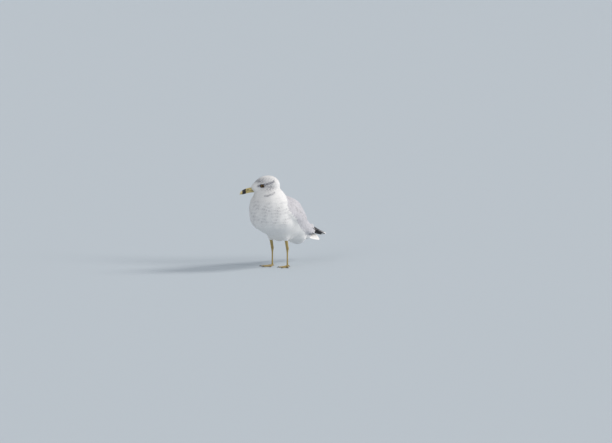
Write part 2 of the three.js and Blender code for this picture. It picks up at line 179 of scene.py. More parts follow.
def ring_faces(rings, around):
    """Quads between rings of points that follow each other, each ring closed on itself."""
    r, c = np.meshgrid(np.arange(rings - 1), np.arange(around), indexing="ij")
    n = (c + 1) % around
    return np.stack([r * around + c, r * around + n, (r + 1) * around + n,
                     (r + 1) * around + c], -1).reshape(-1, 4)


def sheet_faces(rows, columns):
    """Quads of a thin closed sheet: an upper grid, the lower one after it, and their rim."""
    upper = grid_faces(rows, columns)
    lower = rows * columns
    rim = np.concatenate([
        np.arange(columns),
        np.arange(1, rows) * columns + columns - 1,
        (rows - 1) * columns + np.arange(columns - 2, -1, -1),
        np.arange(rows - 2, 0, -1) * columns])
    following = np.roll(rim, -1)
    edge = np.stack([rim, rim + lower, following + lower, following], 1)
    return np.concatenate([upper, upper[:, ::-1] + lower, edge])


def stacked(shapes):
    """Several shapes, each with its points and faces, as one."""
    starts = np.cumsum([0] + [len(points) for points, faces in shapes[:-1]])
    faces = [shape[1] + start for shape, start in zip(shapes, starts)]
    return np.concatenate([shape[0] for shape in shapes]), np.concatenate(faces)


def on_side(hand, points, faces):
    """A shape that was made for the left side, or its mirror image for the right one."""
    if hand == LEFT:
        return points, faces
    return points * (-1, 1, 1), faces[:, ::-1]


print("faces of a 3 by 4 grid, ring and sheet:", len(grid_faces(3, 4)), len(ring_faces(3, 4)),
      len(sheet_faces(3, 4)))

# %% [markdown]
# ## From arrays to objects
#
# Thousands of feathers are far too many to add one by one with operators. It is quicker to fill
# arrays of corners, faces, colours and map places, and to hand them to Blender in one go. `build`
# does this for every piece, hides the solids that the piece stands for, and makes it ride with the
# one rigid body of this still model.

# %% Build a mesh object from arrays
def new_object(name, mesh):
    piece = bpy.data.objects.new(name, mesh)
    bpy.context.scene.collection.objects.link(piece)
    return piece


def declare(piece, replaces=()):
    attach(piece, "root")
    if replaces:
        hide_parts(*replaces)


def build(name, points, faces, material, replaces=(), colours=None, maps=None):
    """A piece from arrays. colours has a row for each point, and maps a name and such rows."""
    mesh = bpy.data.meshes.new(name)
    points, faces = np.asarray(points, np.float32), np.asarray(faces, np.int32)
    corners = faces.shape[1]
    mesh.vertices.add(len(points))
    mesh.vertices.foreach_set("co", points.ravel())
    mesh.loops.add(faces.size)
    mesh.loops.foreach_set("vertex_index", faces.ravel())
    mesh.polygons.add(len(faces))
    mesh.polygons.foreach_set("loop_start", np.arange(0, faces.size, corners, dtype=np.int32))
    mesh.update(calc_edges=True)
    mesh.polygons.foreach_set("use_smooth", np.ones(len(faces), bool))
    if colours is not None:
        layer = mesh.color_attributes.new("plumage", "FLOAT_COLOR", "POINT")
        rgba = np.ones((len(points), 4), np.float32)
        rgba[:, :3] = colours
        layer.data.foreach_set("color", rgba.ravel())
    for map_name, places in (maps or {}).items():
        layer = mesh.uv_layers.new(name=map_name)
        layer.data.foreach_set("uv", np.asarray(places, np.float32)[faces.ravel()].ravel())
    mesh.materials.append(material)
    piece = new_object(name, mesh)
    declare(piece, replaces)
    print(f"{name}: {len(points)} points, {len(faces) * (corners - 2)} triangles")
    return piece


# %% [markdown]
# ## Markings
#
# A ring-billed gull out of the breeding season is white below and pale pearl grey above, with
# dusky streaks on the crown, behind the eye and on the ear, and small dusky flecks on the breast.
# The marks are written as one function of the place on the bird, so that skin and feathers can't
# disagree. It could be a painted picture, but a formula needs no image and stays sharp. The same
# function also paints shade, as a dark line along the fold under the cheek.

# %% Colours by place
WHITE = linear(240, 239, 238)
PEARL = linear(203, 201, 206)
# The colour of the dusky marks, also used for the painted shade along the cheek fold.
DUSKY_AND_SHADE = linear(74, 75, 94)
BLACK = linear(34, 31, 36)
BILL_YELLOW = linear(200, 181, 116)
LEG_YELLOW = linear(165, 143, 83)

EYE_LINE = ((12, -1), (-4, 3), (-34, 12))  # ahead of the eye, behind it, and its end
# Painted shade: a dark line along the fold between cheek and neck.
CHEEK_FOLD_SHADE = ((-5, -28), (-20, -25), (-33, -19))
# Dusky patches: how far the middle lies ahead of the eyes and above them, and how far it spreads.
ROUND_THE_EYE = ((1, -1), (7.5, 5))
FOREHEAD = ((9, 14), (13, 6.5))
EAR = ((-21, -5), (17, 10))
CROWN = ((-22, 18), (26, 12))


def near_line(forward, up, line, width):
    """How near each place is to a bent line, seen from the side of the head: 1 on it, 0 away."""
    best = np.full(forward.shape, 1e9)
    for (f0, u0), (f1, u1) in zip(line, line[1:]):
        along = np.array([f1 - f0, u1 - u0], float)
        t = ((forward - f0) * along[0] + (up - u0) * along[1]) / (along @ along)
        t = np.clip(t, 0, 1)
        best = np.minimum(best, np.hypot(forward - f0 - t * along[0], up - u0 - t * along[1]))
    return np.exp(-((best / width) ** 2))


def patch(forward, up, centre, size):
    return np.exp(-(((forward - centre[0]) / size[0]) ** 2 + ((up - centre[1]) / size[1]) ** 2))


def dusk_and_fold_shade_at(points):
    """How dusky the feathers of the head and breast are at each place, from 0 to 1, with painted
    shade along the fold under the cheek.
    """
    forward, left, up = head_mm(points).T
    x, y, z = body_mm(points).T
    on_head = smoothstep(-36, -28, up) * smoothstep(-62, -50, forward)
    side = smoothstep(4, 12, np.abs(left))
    wander = 0.7 * np.sin(forward * 0.45 + 0.8) + 0.5 * np.sin(forward * 1.35 + up * 0.4)
    blotch = np.sin(forward * 0.75 + 1.6 * np.sin(up * 0.5)) * np.sin(up * 0.9 + 0.5)
    blotch = 0.7 + 0.45 * blotch + 0.2 * np.sin(forward * 1.7 - up * 0.8)
    dusk_and_shade = 0.95 * near_line(forward, up + wander, EYE_LINE, 2.8) * side * (0.75 + 0.25 * blotch)
    dusk_and_shade += 0.7 * patch(forward, up, *ROUND_THE_EYE) * side
    dusk_and_shade += 0.95 * patch(forward, up, *FOREHEAD) * (0.4 + 0.6 * blotch)
    dusk_and_shade += 0.9 * patch(forward, up, *EAR) * side * blotch
    dusk_and_shade += 0.35 * patch(forward, up, *CROWN) * blotch
    # painted shade along the fold under the cheek
    dusk_and_shade += 0.65 * near_line(forward, up + wander, CHEEK_FOLD_SHADE, 2.6) * side
    breast = smoothstep(118, 160, z) * smoothstep(214, 200, z) * smoothstep(-30, -70, y)
    wave = 2.0 * np.sin((x - 0.6 * y) * 0.085 + z * 0.03) + 1.1 * np.sin(x * 0.29 + z * 0.11)
    bars = np.sin(z * 0.66 + wave)
    patchy = np.sin(x * 0.13 + z * 0.06 + 1.3) * np.sin(z * 0.11 - y * 0.07 - x * 0.05)
    patchy = 0.55 + 0.5 * patchy + 0.2 * np.sin(x * 0.37 - z * 0.21)
    breast = breast * np.clip(patchy, 0, 1) * (0.3 + 0.7 * smoothstep(-0.3, 0.8, bars))
    return np.clip(dusk_and_shade * on_head + 0.75 * breast, 0, 1)


print("dusk beside the eye:", dusk_and_fold_shade_at(np.array([in_head(4, 18, 2)])).round(2))

# %% [markdown]
# ## The skin
#
# Under its feathers a gull has one unbroken skin, so the separate solids of head, neck, trunk,
# back, wings and thighs have to become a single surface. Sculpting it again by hand would lose the
# fit with the solids. Instead copies of them are swollen until they touch, the sockets of bill and
# eyes are filled, and a voxel remesh joins all. A volume then finds the surface that lies a fixed
# depth inside: thin blades vanish by themselves, and the body that the feathers grow from stays.
#
# A resting gull also fluffs its flanks, which hides the hollow behind each thigh. Pads fill that
# hollow on the outside surface, where the feathers are laid, and the skin is made without them.

# %% Meshes as arrays
def mesh_arrays(mesh):
    """A mesh's points and their normals, as two arrays of rows."""
    points = np.zeros(len(mesh.vertices) * 3, np.float32)
    normals = np.zeros(len(mesh.vertices) * 3, np.float32)
    mesh.vertices.foreach_get("co", points)
    mesh.vertices.foreach_get("normal", normals)
    return points.reshape(-1, 3), normals.reshape(-1, 3)


def triangles_of(mesh):
    mesh.calc_loop_triangles()
    corners = np.zeros(len(mesh.loop_triangles) * 3, np.int32)
    mesh.loop_triangles.foreach_get("vertices", corners)
    return corners.reshape(-1, 3)


def solid(name):
    """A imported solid's points and triangles."""
    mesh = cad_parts[name].data
    return mesh_arrays(mesh)[0], triangles_of(mesh)


def evaluated_mesh(piece):
    """The mesh that a piece has after its modifiers, as a new mesh of its own."""
    graph = bpy.context.evaluated_depsgraph_get()
    return bpy.data.meshes.new_from_object(piece.evaluated_get(graph))


def blob(centre, radii, axes=np.eye(3)):
    """A closed ellipsoid as points and triangles, to fill a socket or a hollow."""
    ball = bmesh.new()
    bmesh.ops.create_icosphere(ball, subdivisions=2, radius=1)
    points = np.array([v.co for v in ball.verts]) * np.array(radii) * MM
    faces = np.array([[v.index for v in f.verts] for f in ball.faces])
    ball.free()
    return points @ axes + np.array(centre), faces


print("triangles of the head:", len(solid("head")[1]))

# %% Join the solids of flesh into one outside surface
FLESH = ["head", "neck", "trunk", "mantle", "wing_left", "wing_right", "thigh_left", "thigh_right"]
FILLERS = ["leg_left", "leg_right"]
COAT_DEPTH = 2.6 * MM
SKIN_VOXEL = 2.2 * MM
CLOSE_GAPS = 0.7 * MM
# Middle and half sizes of what is filled in: the bill's socket, and the flank and its lower edge.
BILL_SOCKET = ((19, 0, -10), (12, 7.5, 9))
FLANK_PADS = (((16, 14, 126), (44, 46, 46)), ((20, 17, 85), (14, 21, 8.5)))
EYE_SOCKET = (5.6, 3.4, 5.6)  # half sizes


def flank_pads():
    """The fluffed flank feathers that round off the hollow behind each thigh."""
    return [blob(at(x * hand, y, z), radii)
            for hand in (LEFT, RIGHT) for (x, y, z), radii in FLANK_PADS]


def joined_flesh(pads=()):
    """The solids of flesh and what fills their gaps, as one smooth closed object."""
    parts = [solid(name) for name in FLESH + FILLERS]
    parts.append(blob(in_head(*BILL_SOCKET[0]), BILL_SOCKET[1], HEAD_AXES))
    parts += [blob(eye_centres[hand], EYE_SOCKET, HEAD_AXES) for hand in (LEFT, RIGHT)]
    parts += pads
    points, faces = stacked(parts)
    mesh = bpy.data.meshes.new("flesh")
    mesh.from_pydata(points.tolist(), [], faces.tolist())
    piece = new_object("flesh", mesh)
    weld = piece.modifiers.new("weld corners", "WELD")
    weld.merge_threshold = 0.001 * MM
    swell = piece.modifiers.new("swell", "DISPLACE")
    swell.strength, swell.mid_level = CLOSE_GAPS, 0
    remesh = piece.modifiers.new("join", "REMESH")
    remesh.mode, remesh.voxel_size = "VOXEL", SKIN_VOXEL
    smooth = piece.modifiers.new("smooth", "SMOOTH")
    smooth.factor, smooth.iterations = 0.6, 24
    return piece


padded = joined_flesh(flank_pads())
outside_mesh = evaluated_mesh(padded)
bpy.data.objects.remove(padded)
flesh = joined_flesh()
print("outside of the flesh:", len(outside_mesh.vertices), "points")


# %% The skin: what lies deeper than the coat
def depth_nodes(depth, voxel):
    """A node tree that keeps what lies deeper than depth inside a closed mesh."""
    tree = bpy.data.node_groups.new("inside by a depth", "GeometryNodeTree")
    tree.interface.new_socket("Geometry", in_out="INPUT", socket_type="NodeSocketGeometry")
    tree.interface.new_socket("Geometry", in_out="OUTPUT", socket_type="NodeSocketGeometry")
    source, result = tree.nodes.new("NodeGroupInput"), tree.nodes.new("NodeGroupOutput")
    volume = tree.nodes.new("GeometryNodeMeshToVolume")
    volume.resolution_mode = "VOXEL_SIZE"
    volume.inputs["Density"].default_value = 1
    volume.inputs["Voxel Size"].default_value = voxel
    volume.inputs["Interior Band Width"].default_value = 2 * depth
    surface = tree.nodes.new("GeometryNodeVolumeToMesh")
    surface.resolution_mode = "VOXEL_SIZE"
    surface.inputs["Voxel Size"].default_value = voxel
    surface.inputs["Threshold"].default_value = 0.5
    tree.links.new(source.outputs[0], volume.inputs["Mesh"])
    tree.links.new(volume.outputs[0], surface.inputs["Volume"])
    tree.links.new(surface.outputs[0], result.inputs[0])
    return tree


def largest_body(points, faces):
    """The points and faces of the largest connected part of a mesh."""
    label = np.arange(len(points))
    while True:
        low = label[faces].min(axis=1)
        lower = label.copy()
        for corner in range(3):
            np.minimum.at(lower, faces[:, corner], low)
        lower = lower[lower]
        if (lower == label).all():
            break
        label = lower
    names, counts = np.unique(label[faces[:, 0]], return_counts=True)
    keep = label == names[counts.argmax()]
    number = np.cumsum(keep) - 1
    return points[keep], number[faces[keep[faces[:, 0]]]]


inside = flesh.modifiers.new("inside", "NODES")
inside.node_group = depth_nodes(COAT_DEPTH, SKIN_VOXEL)
settle = flesh.modifiers.new("settle", "SMOOTH")
settle.factor, settle.iterations = 0.5, 8
deep_mesh = evaluated_mesh(flesh)
skin_points, skin_faces = largest_body(mesh_arrays(deep_mesh)[0], triangles_of(deep_mesh))
bpy.data.objects.remove(flesh)
print("skin:", len(skin_points), "points,", len(skin_faces), "triangles")

# %% [markdown]
# ## Where the coat lies
#
# Feathers are rooted in the skin and end at the outside of the plumage. The coat is 2.6 mm deep on
# the body, deeper over the pads of the flanks, and thins to about 1 mm on the face. One small tool,
# `Surface`, answers where the nearest place on a mesh is and which way it faces there; the feathers
# are laid on the outside surface and sunk from it, deep at the root and hardly at the tip, so that
# they overlap like shingles. Where the pads fill the flanks, that surface is relaxed first, so that
# they leave no lumps.

# %% A surface to lay feathers on
class Surface:
    """A mesh of triangles that tells where its nearest place is and which way it faces."""

    def __init__(self, points, faces):
        self.points, self.faces = points, faces
        sides = points[faces]
        across = np.cross(sides[:, 1] - sides[:, 0], sides[:, 2] - sides[:, 0])
        self.areas = np.linalg.norm(across, axis=1) / 2
        self.normals = np.zeros_like(points)
        for corner in range(3):
            np.add.at(self.normals, faces[:, corner], across)
        self.normals = unit(self.normals)
        self.tree = BVHTree.FromPolygons(points.tolist(), faces.tolist())

    def nearest(self, places):
        """The nearest place on the surface for each row, its triangle, and its weights there."""
        found = [self.tree.find_nearest(p) for p in places.tolist()]
        spots = np.array([f[0] for f in found])
        index = np.array([f[2] for f in found])
        a, b, c = self.points[self.faces[index]].transpose(1, 0, 2)
        ab, ac, ap = b - a, c - a, spots - a
        d00, d01, d11 = (ab * ab).sum(1), (ab * ac).sum(1), (ac * ac).sum(1)
        d20, d21 = (ap * ab).sum(1), (ap * ac).sum(1)
        whole = np.maximum(d00 * d11 - d01 * d01, 1e-20)
        v = (d11 * d20 - d01 * d21) / whole
        w = (d00 * d21 - d01 * d20) / whole
        return spots, index, np.stack([1 - v - w, v, w], 1)

    def blend(self, values, index, weights):
        """Values kept per point, at places inside triangles."""
        return (values[self.faces[index]] * weights[:, :, None]).sum(1)

    def seats(self, places):
        """The nearest place on the surface for each row, and the way out from it."""
        spots, index, weights = self.nearest(places)
        return spots, unit(self.blend(self.normals, index, weights))


def relaxed(points, faces, weight, rounds):
    """Points drawn toward the middle of their neighbours, each as far as its weight says."""
    ends = np.concatenate([faces[:, [0, 1]], faces[:, [1, 2]], faces[:, [2, 0]]])
    ends = np.concatenate([ends, ends[:, ::-1]])
    here, there = ends.T
    neighbours = np.bincount(here, minlength=len(points))
    for _ in range(rounds):
        sums = [np.bincount(here, points[there, axis], len(points)) for axis in range(3)]
        points = points + weight[:, None] * (np.stack(sums / neighbours, 1) - points)
    return points


def flank_weight(points):
    """1 on the flanks behind and above the thighs, 0 elsewhere."""
    y, z = body_mm(points).T[1:]
    lowest = mix(86, 70, smoothstep(10, 26, y))
    along = smoothstep(-45, -20, y) * smoothstep(92, 62, y)
    return along * smoothstep(lowest, lowest + 10, z) * smoothstep(142, 124, z)


outside_points = mesh_arrays(outside_mesh)[0].astype(float)
outside_faces = triangles_of(outside_mesh)
pull = 0.6 * flank_weight(outside_points)
outside = Surface(relaxed(outside_points, outside_faces, pull, rounds=70), outside_faces)
print("outside area:", round(float(outside.areas.sum()), 4), "square metres")


# %% The depth of the coat, and the skin moved to it
BILL_ROOT = (36, 0, -12)  # in the head
FACE_DEPTH = 1.0 * MM
NEAR_OUTSIDE = 1.35 * COAT_DEPTH  # skin that lies deeper than this stays where it is


def face_distance(points):
    """Millimetres from the root of the bill."""
    return np.linalg.norm(head_mm(points) - np.array(BILL_ROOT), axis=1)


def coat_depth(points):
    return mix(FACE_DEPTH, COAT_DEPTH, smoothstep(4, 62, face_distance(points)))


seats, ways = outside.seats(skin_points.astype(float))
gap = np.linalg.norm(seats - skin_points, axis=1)
close = (gap < NEAR_OUTSIDE)[:, None]
skin_points = np.where(close, seats - ways * coat_depth(seats)[:, None], skin_points)
skin = Surface(skin_points, skin_faces)
print("skin area:", round(float(skin.areas.sum()), 4), "square metres")

# %% [markdown]
# ## Materials of the plumage
#
# A feather is a fan of fine barbs either side of a shaft. At arm's length they show as a soft,
# slightly silky grain that slants away from the shaft. Geometry for each barb would be wasted, so
# the vanes carry a map in centimetres, and a node group draws the slanting grain from it as a small
# bump and a faint change of tone. The same group serves the small feathers and the long ones, each
# with its own number of barbs.

# %% Node groups shared by materials
def node(tree, kind, **settings):
    made = tree.nodes.new(kind)
    for name, value in settings.items():
        setattr(made, name, value)
    return made


def math_node(tree, operation, first, second=0.0):
    made = node(tree, "ShaderNodeMath", operation=operation)
    for socket, value in zip(made.inputs, (first, second)):
        if isinstance(value, (int, float)):
            socket.default_value = value
        else:
            tree.links.new(value, socket)
    return made.outputs[0]


def group_with(name, inputs, outputs):
    tree = bpy.data.node_groups.new(name, "ShaderNodeTree")
    for label, kind, value in inputs:
        socket = tree.interface.new_socket(label, in_out="INPUT", socket_type=kind)
        if value is not None:
            socket.default_value = value
    for label, kind in outputs:
        tree.interface.new_socket(label, in_out="OUTPUT", socket_type=kind)
    return tree, node(tree, "NodeGroupInput"), node(tree, "NodeGroupOutput")


FLOAT, VECTOR = "NodeSocketFloat", "NodeSocketVector"
NOISE_RANGE = 4.0  # noise mostly stays within a quarter of its middle value, so this widens it


def barb_group():
    """Slanting barbs from the vane map: a height for a bump, and a tone to multiply colour by."""
    tree, source, result = group_with(
        "barbs",
        [("Vane", VECTOR, None), ("Barbs per cm", FLOAT, 18.0), ("Slant", FLOAT, 0.9),
         ("Tone strength", FLOAT, 0.12)],
        [("Height", FLOAT), ("Tone", FLOAT)])
    split = node(tree, "ShaderNodeSeparateXYZ")
    tree.links.new(source.outputs["Vane"], split.inputs[0])
    aside = math_node(tree, "MULTIPLY", math_node(tree, "ABSOLUTE", split.outputs[0]),
                      source.outputs["Slant"])
    run = math_node(tree, "SUBTRACT", split.outputs[1], aside)
    uneven = node(tree, "ShaderNodeTexNoise")
    uneven.inputs["Scale"].default_value = 3.0
    tree.links.new(source.outputs["Vane"], uneven.inputs["Vector"])
    shifted = math_node(tree, "ADD", run, math_node(tree, "MULTIPLY", uneven.outputs[0], 0.08))
    turns = math_node(tree, "MULTIPLY", shifted, source.outputs["Barbs per cm"])
    wave = math_node(tree, "SINE", math_node(tree, "MULTIPLY", turns, 2 * math.pi))
    clump = math_node(tree, "SINE", math_node(tree, "MULTIPLY", turns, 0.83))
    height = math_node(tree, "ADD", wave, math_node(tree, "MULTIPLY", clump, 0.3))
    tree.links.new(height, result.inputs["Height"])
    lowered = math_node(tree, "MULTIPLY", math_node(tree, "SUBTRACT", clump, 1.0),
                        source.outputs["Tone strength"])
    tree.links.new(math_node(tree, "ADD", lowered, 1.0), result.inputs["Tone"])
    return tree


def mottle_group():
    """Two scales of noise: a tone to multiply colour by, a height, and a roughness."""
    tree, source, result = group_with(
        "mottle",
        [("Scale", FLOAT, 200.0), ("Tone strength", FLOAT, 0.1), ("Roughness", FLOAT, 0.5),
         ("Roughness change", FLOAT, 0.15)],
        [("Tone", FLOAT), ("Height", FLOAT), ("Roughness", FLOAT)])
    place = node(tree, "ShaderNodeTexCoord")
    coarse = node(tree, "ShaderNodeTexNoise")
    fine = node(tree, "ShaderNodeTexNoise")
    for texture, ratio in ((coarse, 1.0), (fine, 5.0)):
        tree.links.new(place.outputs["Object"], texture.inputs["Vector"])
        tree.links.new(math_node(tree, "MULTIPLY", source.outputs["Scale"], ratio),
                       texture.inputs["Scale"])
        texture.inputs["Detail"].default_value = 3.0
    both = math_node(tree, "ADD", math_node(tree, "MULTIPLY", coarse.outputs[0], 0.6),
                     math_node(tree, "MULTIPLY", fine.outputs[0], 0.4))
    away = math_node(tree, "SUBTRACT", both, 0.5)
    tone = math_node(tree, "MULTIPLY", away, source.outputs["Tone strength"])
    tree.links.new(math_node(tree, "ADD", math_node(tree, "MULTIPLY", tone, NOISE_RANGE), 1.0),
                   result.inputs["Tone"])
    tree.links.new(both, result.inputs["Height"])
    change = math_node(tree, "MULTIPLY", away, source.outputs["Roughness change"])
    tree.links.new(math_node(tree, "ADD", source.outputs["Roughness"],
                             math_node(tree, "MULTIPLY", change, NOISE_RANGE)),
                   result.inputs["Roughness"])
    return tree


BARBS, MOTTLE = barb_group(), mottle_group()
print("node groups:", [g.name for g in (BARBS, MOTTLE)])


# %% A material from a painted colour, mottle, barbs and bump
def tinted(tree, colour, tone):
    """Colour times tone, through a mix node in multiply mode."""
    multiply = node(tree, "ShaderNodeMix", data_type="RGBA", blend_type="MULTIPLY")
    multiply.inputs["Factor"].default_value = 1
    grey = node(tree, "ShaderNodeCombineColor")
    for socket in grey.inputs:
        tree.links.new(tone, socket)
    tree.links.new(colour, multiply.inputs["A"])
    tree.links.new(grey.outputs[0], multiply.inputs["B"])
    return multiply.outputs["Result"]


def natural_material(name, roughness, mottle_scale, tone=0.1, bump=0.1, bump_depth=0.2,
                     barbs=None, bumps_from=None, **constants):
    """A Principled material whose colour is the mesh's own, varied by mottle and barbs.

    constants are sockets of the shader with one value for the whole surface.
    """
    material = bpy.data.materials.new(name)
    material.use_nodes = True
    tree = material.node_tree
    shader = tree.nodes["Principled BSDF"]
    for socket, value in constants.items():
        shader.inputs[socket.replace("_", " ")].default_value = value
    painted = node(tree, "ShaderNodeVertexColor", layer_name="plumage")
    mottle = node(tree, "ShaderNodeGroup", node_tree=MOTTLE)
    mottle.inputs["Scale"].default_value = mottle_scale
    mottle.inputs["Tone strength"].default_value = tone
    mottle.inputs["Roughness"].default_value = roughness
    colour = tinted(tree, painted.outputs["Color"], mottle.outputs["Tone"])
    height = mottle.outputs["Height"]
    if barbs:
        vane = node(tree, "ShaderNodeUVMap", uv_map="vane")
        grain = node(tree, "ShaderNodeGroup", node_tree=BARBS)
        grain.inputs["Barbs per cm"].default_value = barbs[0]
        grain.inputs["Tone strength"].default_value = barbs[1]
        tree.links.new(vane.outputs[0], grain.inputs["Vane"])
        colour = tinted(tree, colour, grain.outputs["Tone"])
        height = grain.outputs["Height"]
    if bumps_from:
        height = bumps_from(tree, height)
    relief = node(tree, "ShaderNodeBump")
    relief.inputs["Strength"].default_value = bump
    relief.inputs["Distance"].default_value = bump_depth * MM
    tree.links.new(height, relief.inputs["Height"])
    tree.links.new(relief.outputs[0], shader.inputs["Normal"])
    tree.links.new(colour, shader.inputs["Base Color"])
    tree.links.new(mottle.outputs["Roughness"], shader.inputs["Roughness"])
    return material


plumage_material = natural_material(
    "plumage", roughness=0.8, mottle_scale=90, tone=0.05, bump=0.12, bump_depth=0.12,
    barbs=(13.0, 0.03), Sheen_Weight=0.25, Sheen_Roughness=0.5, Specular_IOR_Level=0.3)
skin_material = natural_material(
    "skin down", roughness=0.9, mottle_scale=500, tone=0.1, bump=0.5, bump_depth=0.4,
    Sheen_Weight=0.2, Sheen_Roughness=0.6, Specular_IOR_Level=0.2)
flight_material = natural_material(
    "long feathers", roughness=0.55, mottle_scale=120, tone=0.05, bump=0.14, bump_depth=0.1,
    barbs=(15.0, 0.03), Sheen_Weight=0.15, Sheen_Roughness=0.4, Specular_IOR_Level=0.4)
print("materials:", [m.name for m in bpy.data.materials])

# %% [markdown]
# ## Eyelids
#
# A gull's eye looks out through a nearly round opening with a bare, dark rim, and it sits a little
# below the feathers around it. The rim is a ring of small sections: it starts on the eyeball,
# rises to a rounded edge and runs out under the feathers. It could be a piece of its own, but it is
# skin, so it shares the skin's mesh and material. Behind the eyeball the skin is pressed in, so that
# it can't show through.

# %% Eyelid rings, joined to the skin
EYE_OPENING = (4.3, 3.8)  # half the opening's length and height, in millimetres
EYEBALL = (5.0, 4.2)  # half sizes of the eyeball along the head and across it
LID_STEPS = 48
# Rows of the ring: size against the opening, and height above the eyeball or the outside surface.
ROWS_ON_EYE = ((0.93, -0.5), (0.97, 0.05), (1.03, 0.3), (1.12, 0.32))
ROWS_UNDER_FEATHERS = ((1.24, -0.55), (1.4, -1.0), (1.8, -1.8))
LOWEST_RIM = 2.1  # the rim stays at least this far out from the eyeball's middle
BESIDE_EYE = 4.5  # so far out from the eyeball's middle the outside surface is looked for
EYE_HOLLOW = (5.4, 12.5)  # its radius, and how far aside the skin may lie in it


def eyelid(hand):
    """Points and triangles of one ring, from the eyeball out under the feathers."""
    around = np.linspace(0, 2 * math.pi, LID_STEPS, endpoint=False)
    centre = np.array(eye_centres[hand])
    outward = np.array(head_left) * hand
    almond = 1 + 0.05 * np.cos(2 * around)
    rows = []
    for grow, rise in ROWS_ON_EYE + ROWS_UNDER_FEATHERS:
        f = EYE_OPENING[0] * grow * np.cos(around) * almond
        u = EYE_OPENING[1] * grow * np.sin(around)
        flat = centre + (f[:, None] * HEAD_AXES[0] + u[:, None] * HEAD_AXES[2]) * MM
        if (grow, rise) in ROWS_UNDER_FEATHERS:
            spots = outside.seats(flat + outward * BESIDE_EYE * MM)[0]
            level = (spots - centre) @ outward / MM + rise
        else:
            share = np.clip(np.hypot(f, u) / EYEBALL[0], 0, 1)
            level = np.maximum(EYEBALL[1] * np.sqrt(1 - share**2), LOWEST_RIM) + rise
        rows.append(flat + outward * level[:, None] * MM)
    points = np.concatenate(rows)
    faces = []
    for row in range(len(rows) - 1):
        for i in range(LID_STEPS):
            j = (i + 1) % LID_STEPS
            a, b = row * LID_STEPS + i, row * LID_STEPS + j
            quad = (a, a + LID_STEPS, b + LID_STEPS, b)
            quad = quad if hand == RIGHT else quad[::-1]
            faces += [quad[:3], (quad[0], quad[2], quad[3])]
    return points, np.array(faces)


def eye_offsets(points):
    """How far each place is from the axis through both eyes, and its distance to the side."""
    forward, left, up = head_mm(points).T
    return np.hypot(forward, up), left


from_axis, left = eye_offsets(skin_points)
press = (from_axis < EYE_HOLLOW[0]) & (np.abs(left) > 8)
pressed_to = np.sign(left) * np.minimum(np.abs(left), EYE_HOLLOW[1])
skin_points = skin_points + np.where(press, (pressed_to - left) * MM, 0)[:, None] * HEAD_AXES[1]
lids = [eyelid(hand) for hand in (LEFT, RIGHT)]
lid_start = len(skin_points)
skin_points, skin_faces = stacked([(skin_points, skin_faces), *lids])
print("skin with lids:", len(skin_faces), "triangles")

# %% [markdown]
# ## The lie and the colour of the coat
#
# Contour feathers all point away from the bill on the head, then down the neck and back towards
# the tail. They are tiny on the face and grow towards the back. Which solid lies outermost at a
# place tells whether it is grey back and wing or white body, and a line along the flank tells
# where the white side feathers cover the lower edge of the wing. All this could be combed and
# painted by hand, but rules still hold when the form under them changes.

# %% Which part lies outermost, and how feathers point there
FLANK_LINE = ((-95, 212), (-66, 190), (-36, 163), (5, 132), (44, 106), (66, 90), (90, 60))
OUT_AND_IN = (12 * MM, 30 * MM)  # so far out a ray starts above a place, and so far in it looks
solids = [solid(name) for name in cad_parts]
solid_of_face = np.repeat(list(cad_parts), [len(faces) for points, faces in solids])
solids_tree = BVHTree.FromPolygons(*[rows.tolist() for rows in stacked(solids)])


def outermost(points, normals):
    """The name of the solid that is met first on the way in to each place."""
    names = []
    for place, way in zip(points, normals):
        start = place + way * OUT_AND_IN[0]
        index = solids_tree.ray_cast(start.tolist(), (-way).tolist(), OUT_AND_IN[1])[2]
        if index is None:
            index = solids_tree.find_nearest(place.tolist())[2]
        names.append(solid_of_face[index])
    return np.array(names)


def is_grey(points, names):
    """Whether each place carries the grey feathers of back and wings."""
    x, y, z = body_mm(points).T
    ragged = 2 * np.sin(y / 5.1 + z / 3.7) + np.sin(y / 2.3 - z / 2.9)
    above_flank = z > np.interp(y, *np.array(FLANK_LINE).T) + ragged
    behind_neck = y > -8 - 0.8 * np.abs(x) + ragged
    upper = np.isin(names, ["mantle", "wing_left", "wing_right"])
    return above_flank & behind_neck & (upper | (y < 40)) & (z < 224)


def lie_at(points, normals, names):
    """The way a feather points at each place, within the surface."""
    up = head_mm(points)[:, 2]
    y = body_mm(points)[:, 1]
    from_bill = unit(points - np.array(in_head(54, 0, -14)))
    to_tail = unit(np.array(at(0, 235, 62)) - points)
    down = np.array([0, 0, -1.0])
    front = smoothstep(70, -70, y)[:, None]
    hang = np.isin(names, ["thigh_left", "thigh_right"])[:, None] * 3.0
    body = to_tail + down * (0.35 + 0.35 * front + hang)
    on_head = smoothstep(-46, -22, up)[:, None]
    way = mix(unit(body), from_bill, on_head)
    way = way - normals * (way * normals).sum(1, keepdims=True)
    return unit(way)


print("solids to look for:", len(solids), "with", len(solid_of_face), "triangles")


# %% The skin object, its colours and its unwrap
def corner_map(piece, map_name):
    """A piece's map as an array of triangle, corner and place."""
    layer = piece.data.uv_layers[map_name]
    places = np.zeros(len(layer.uv) * 2, np.float32)
    layer.uv.foreach_get("vector", places)
    return places.reshape(-1, 3, 2)


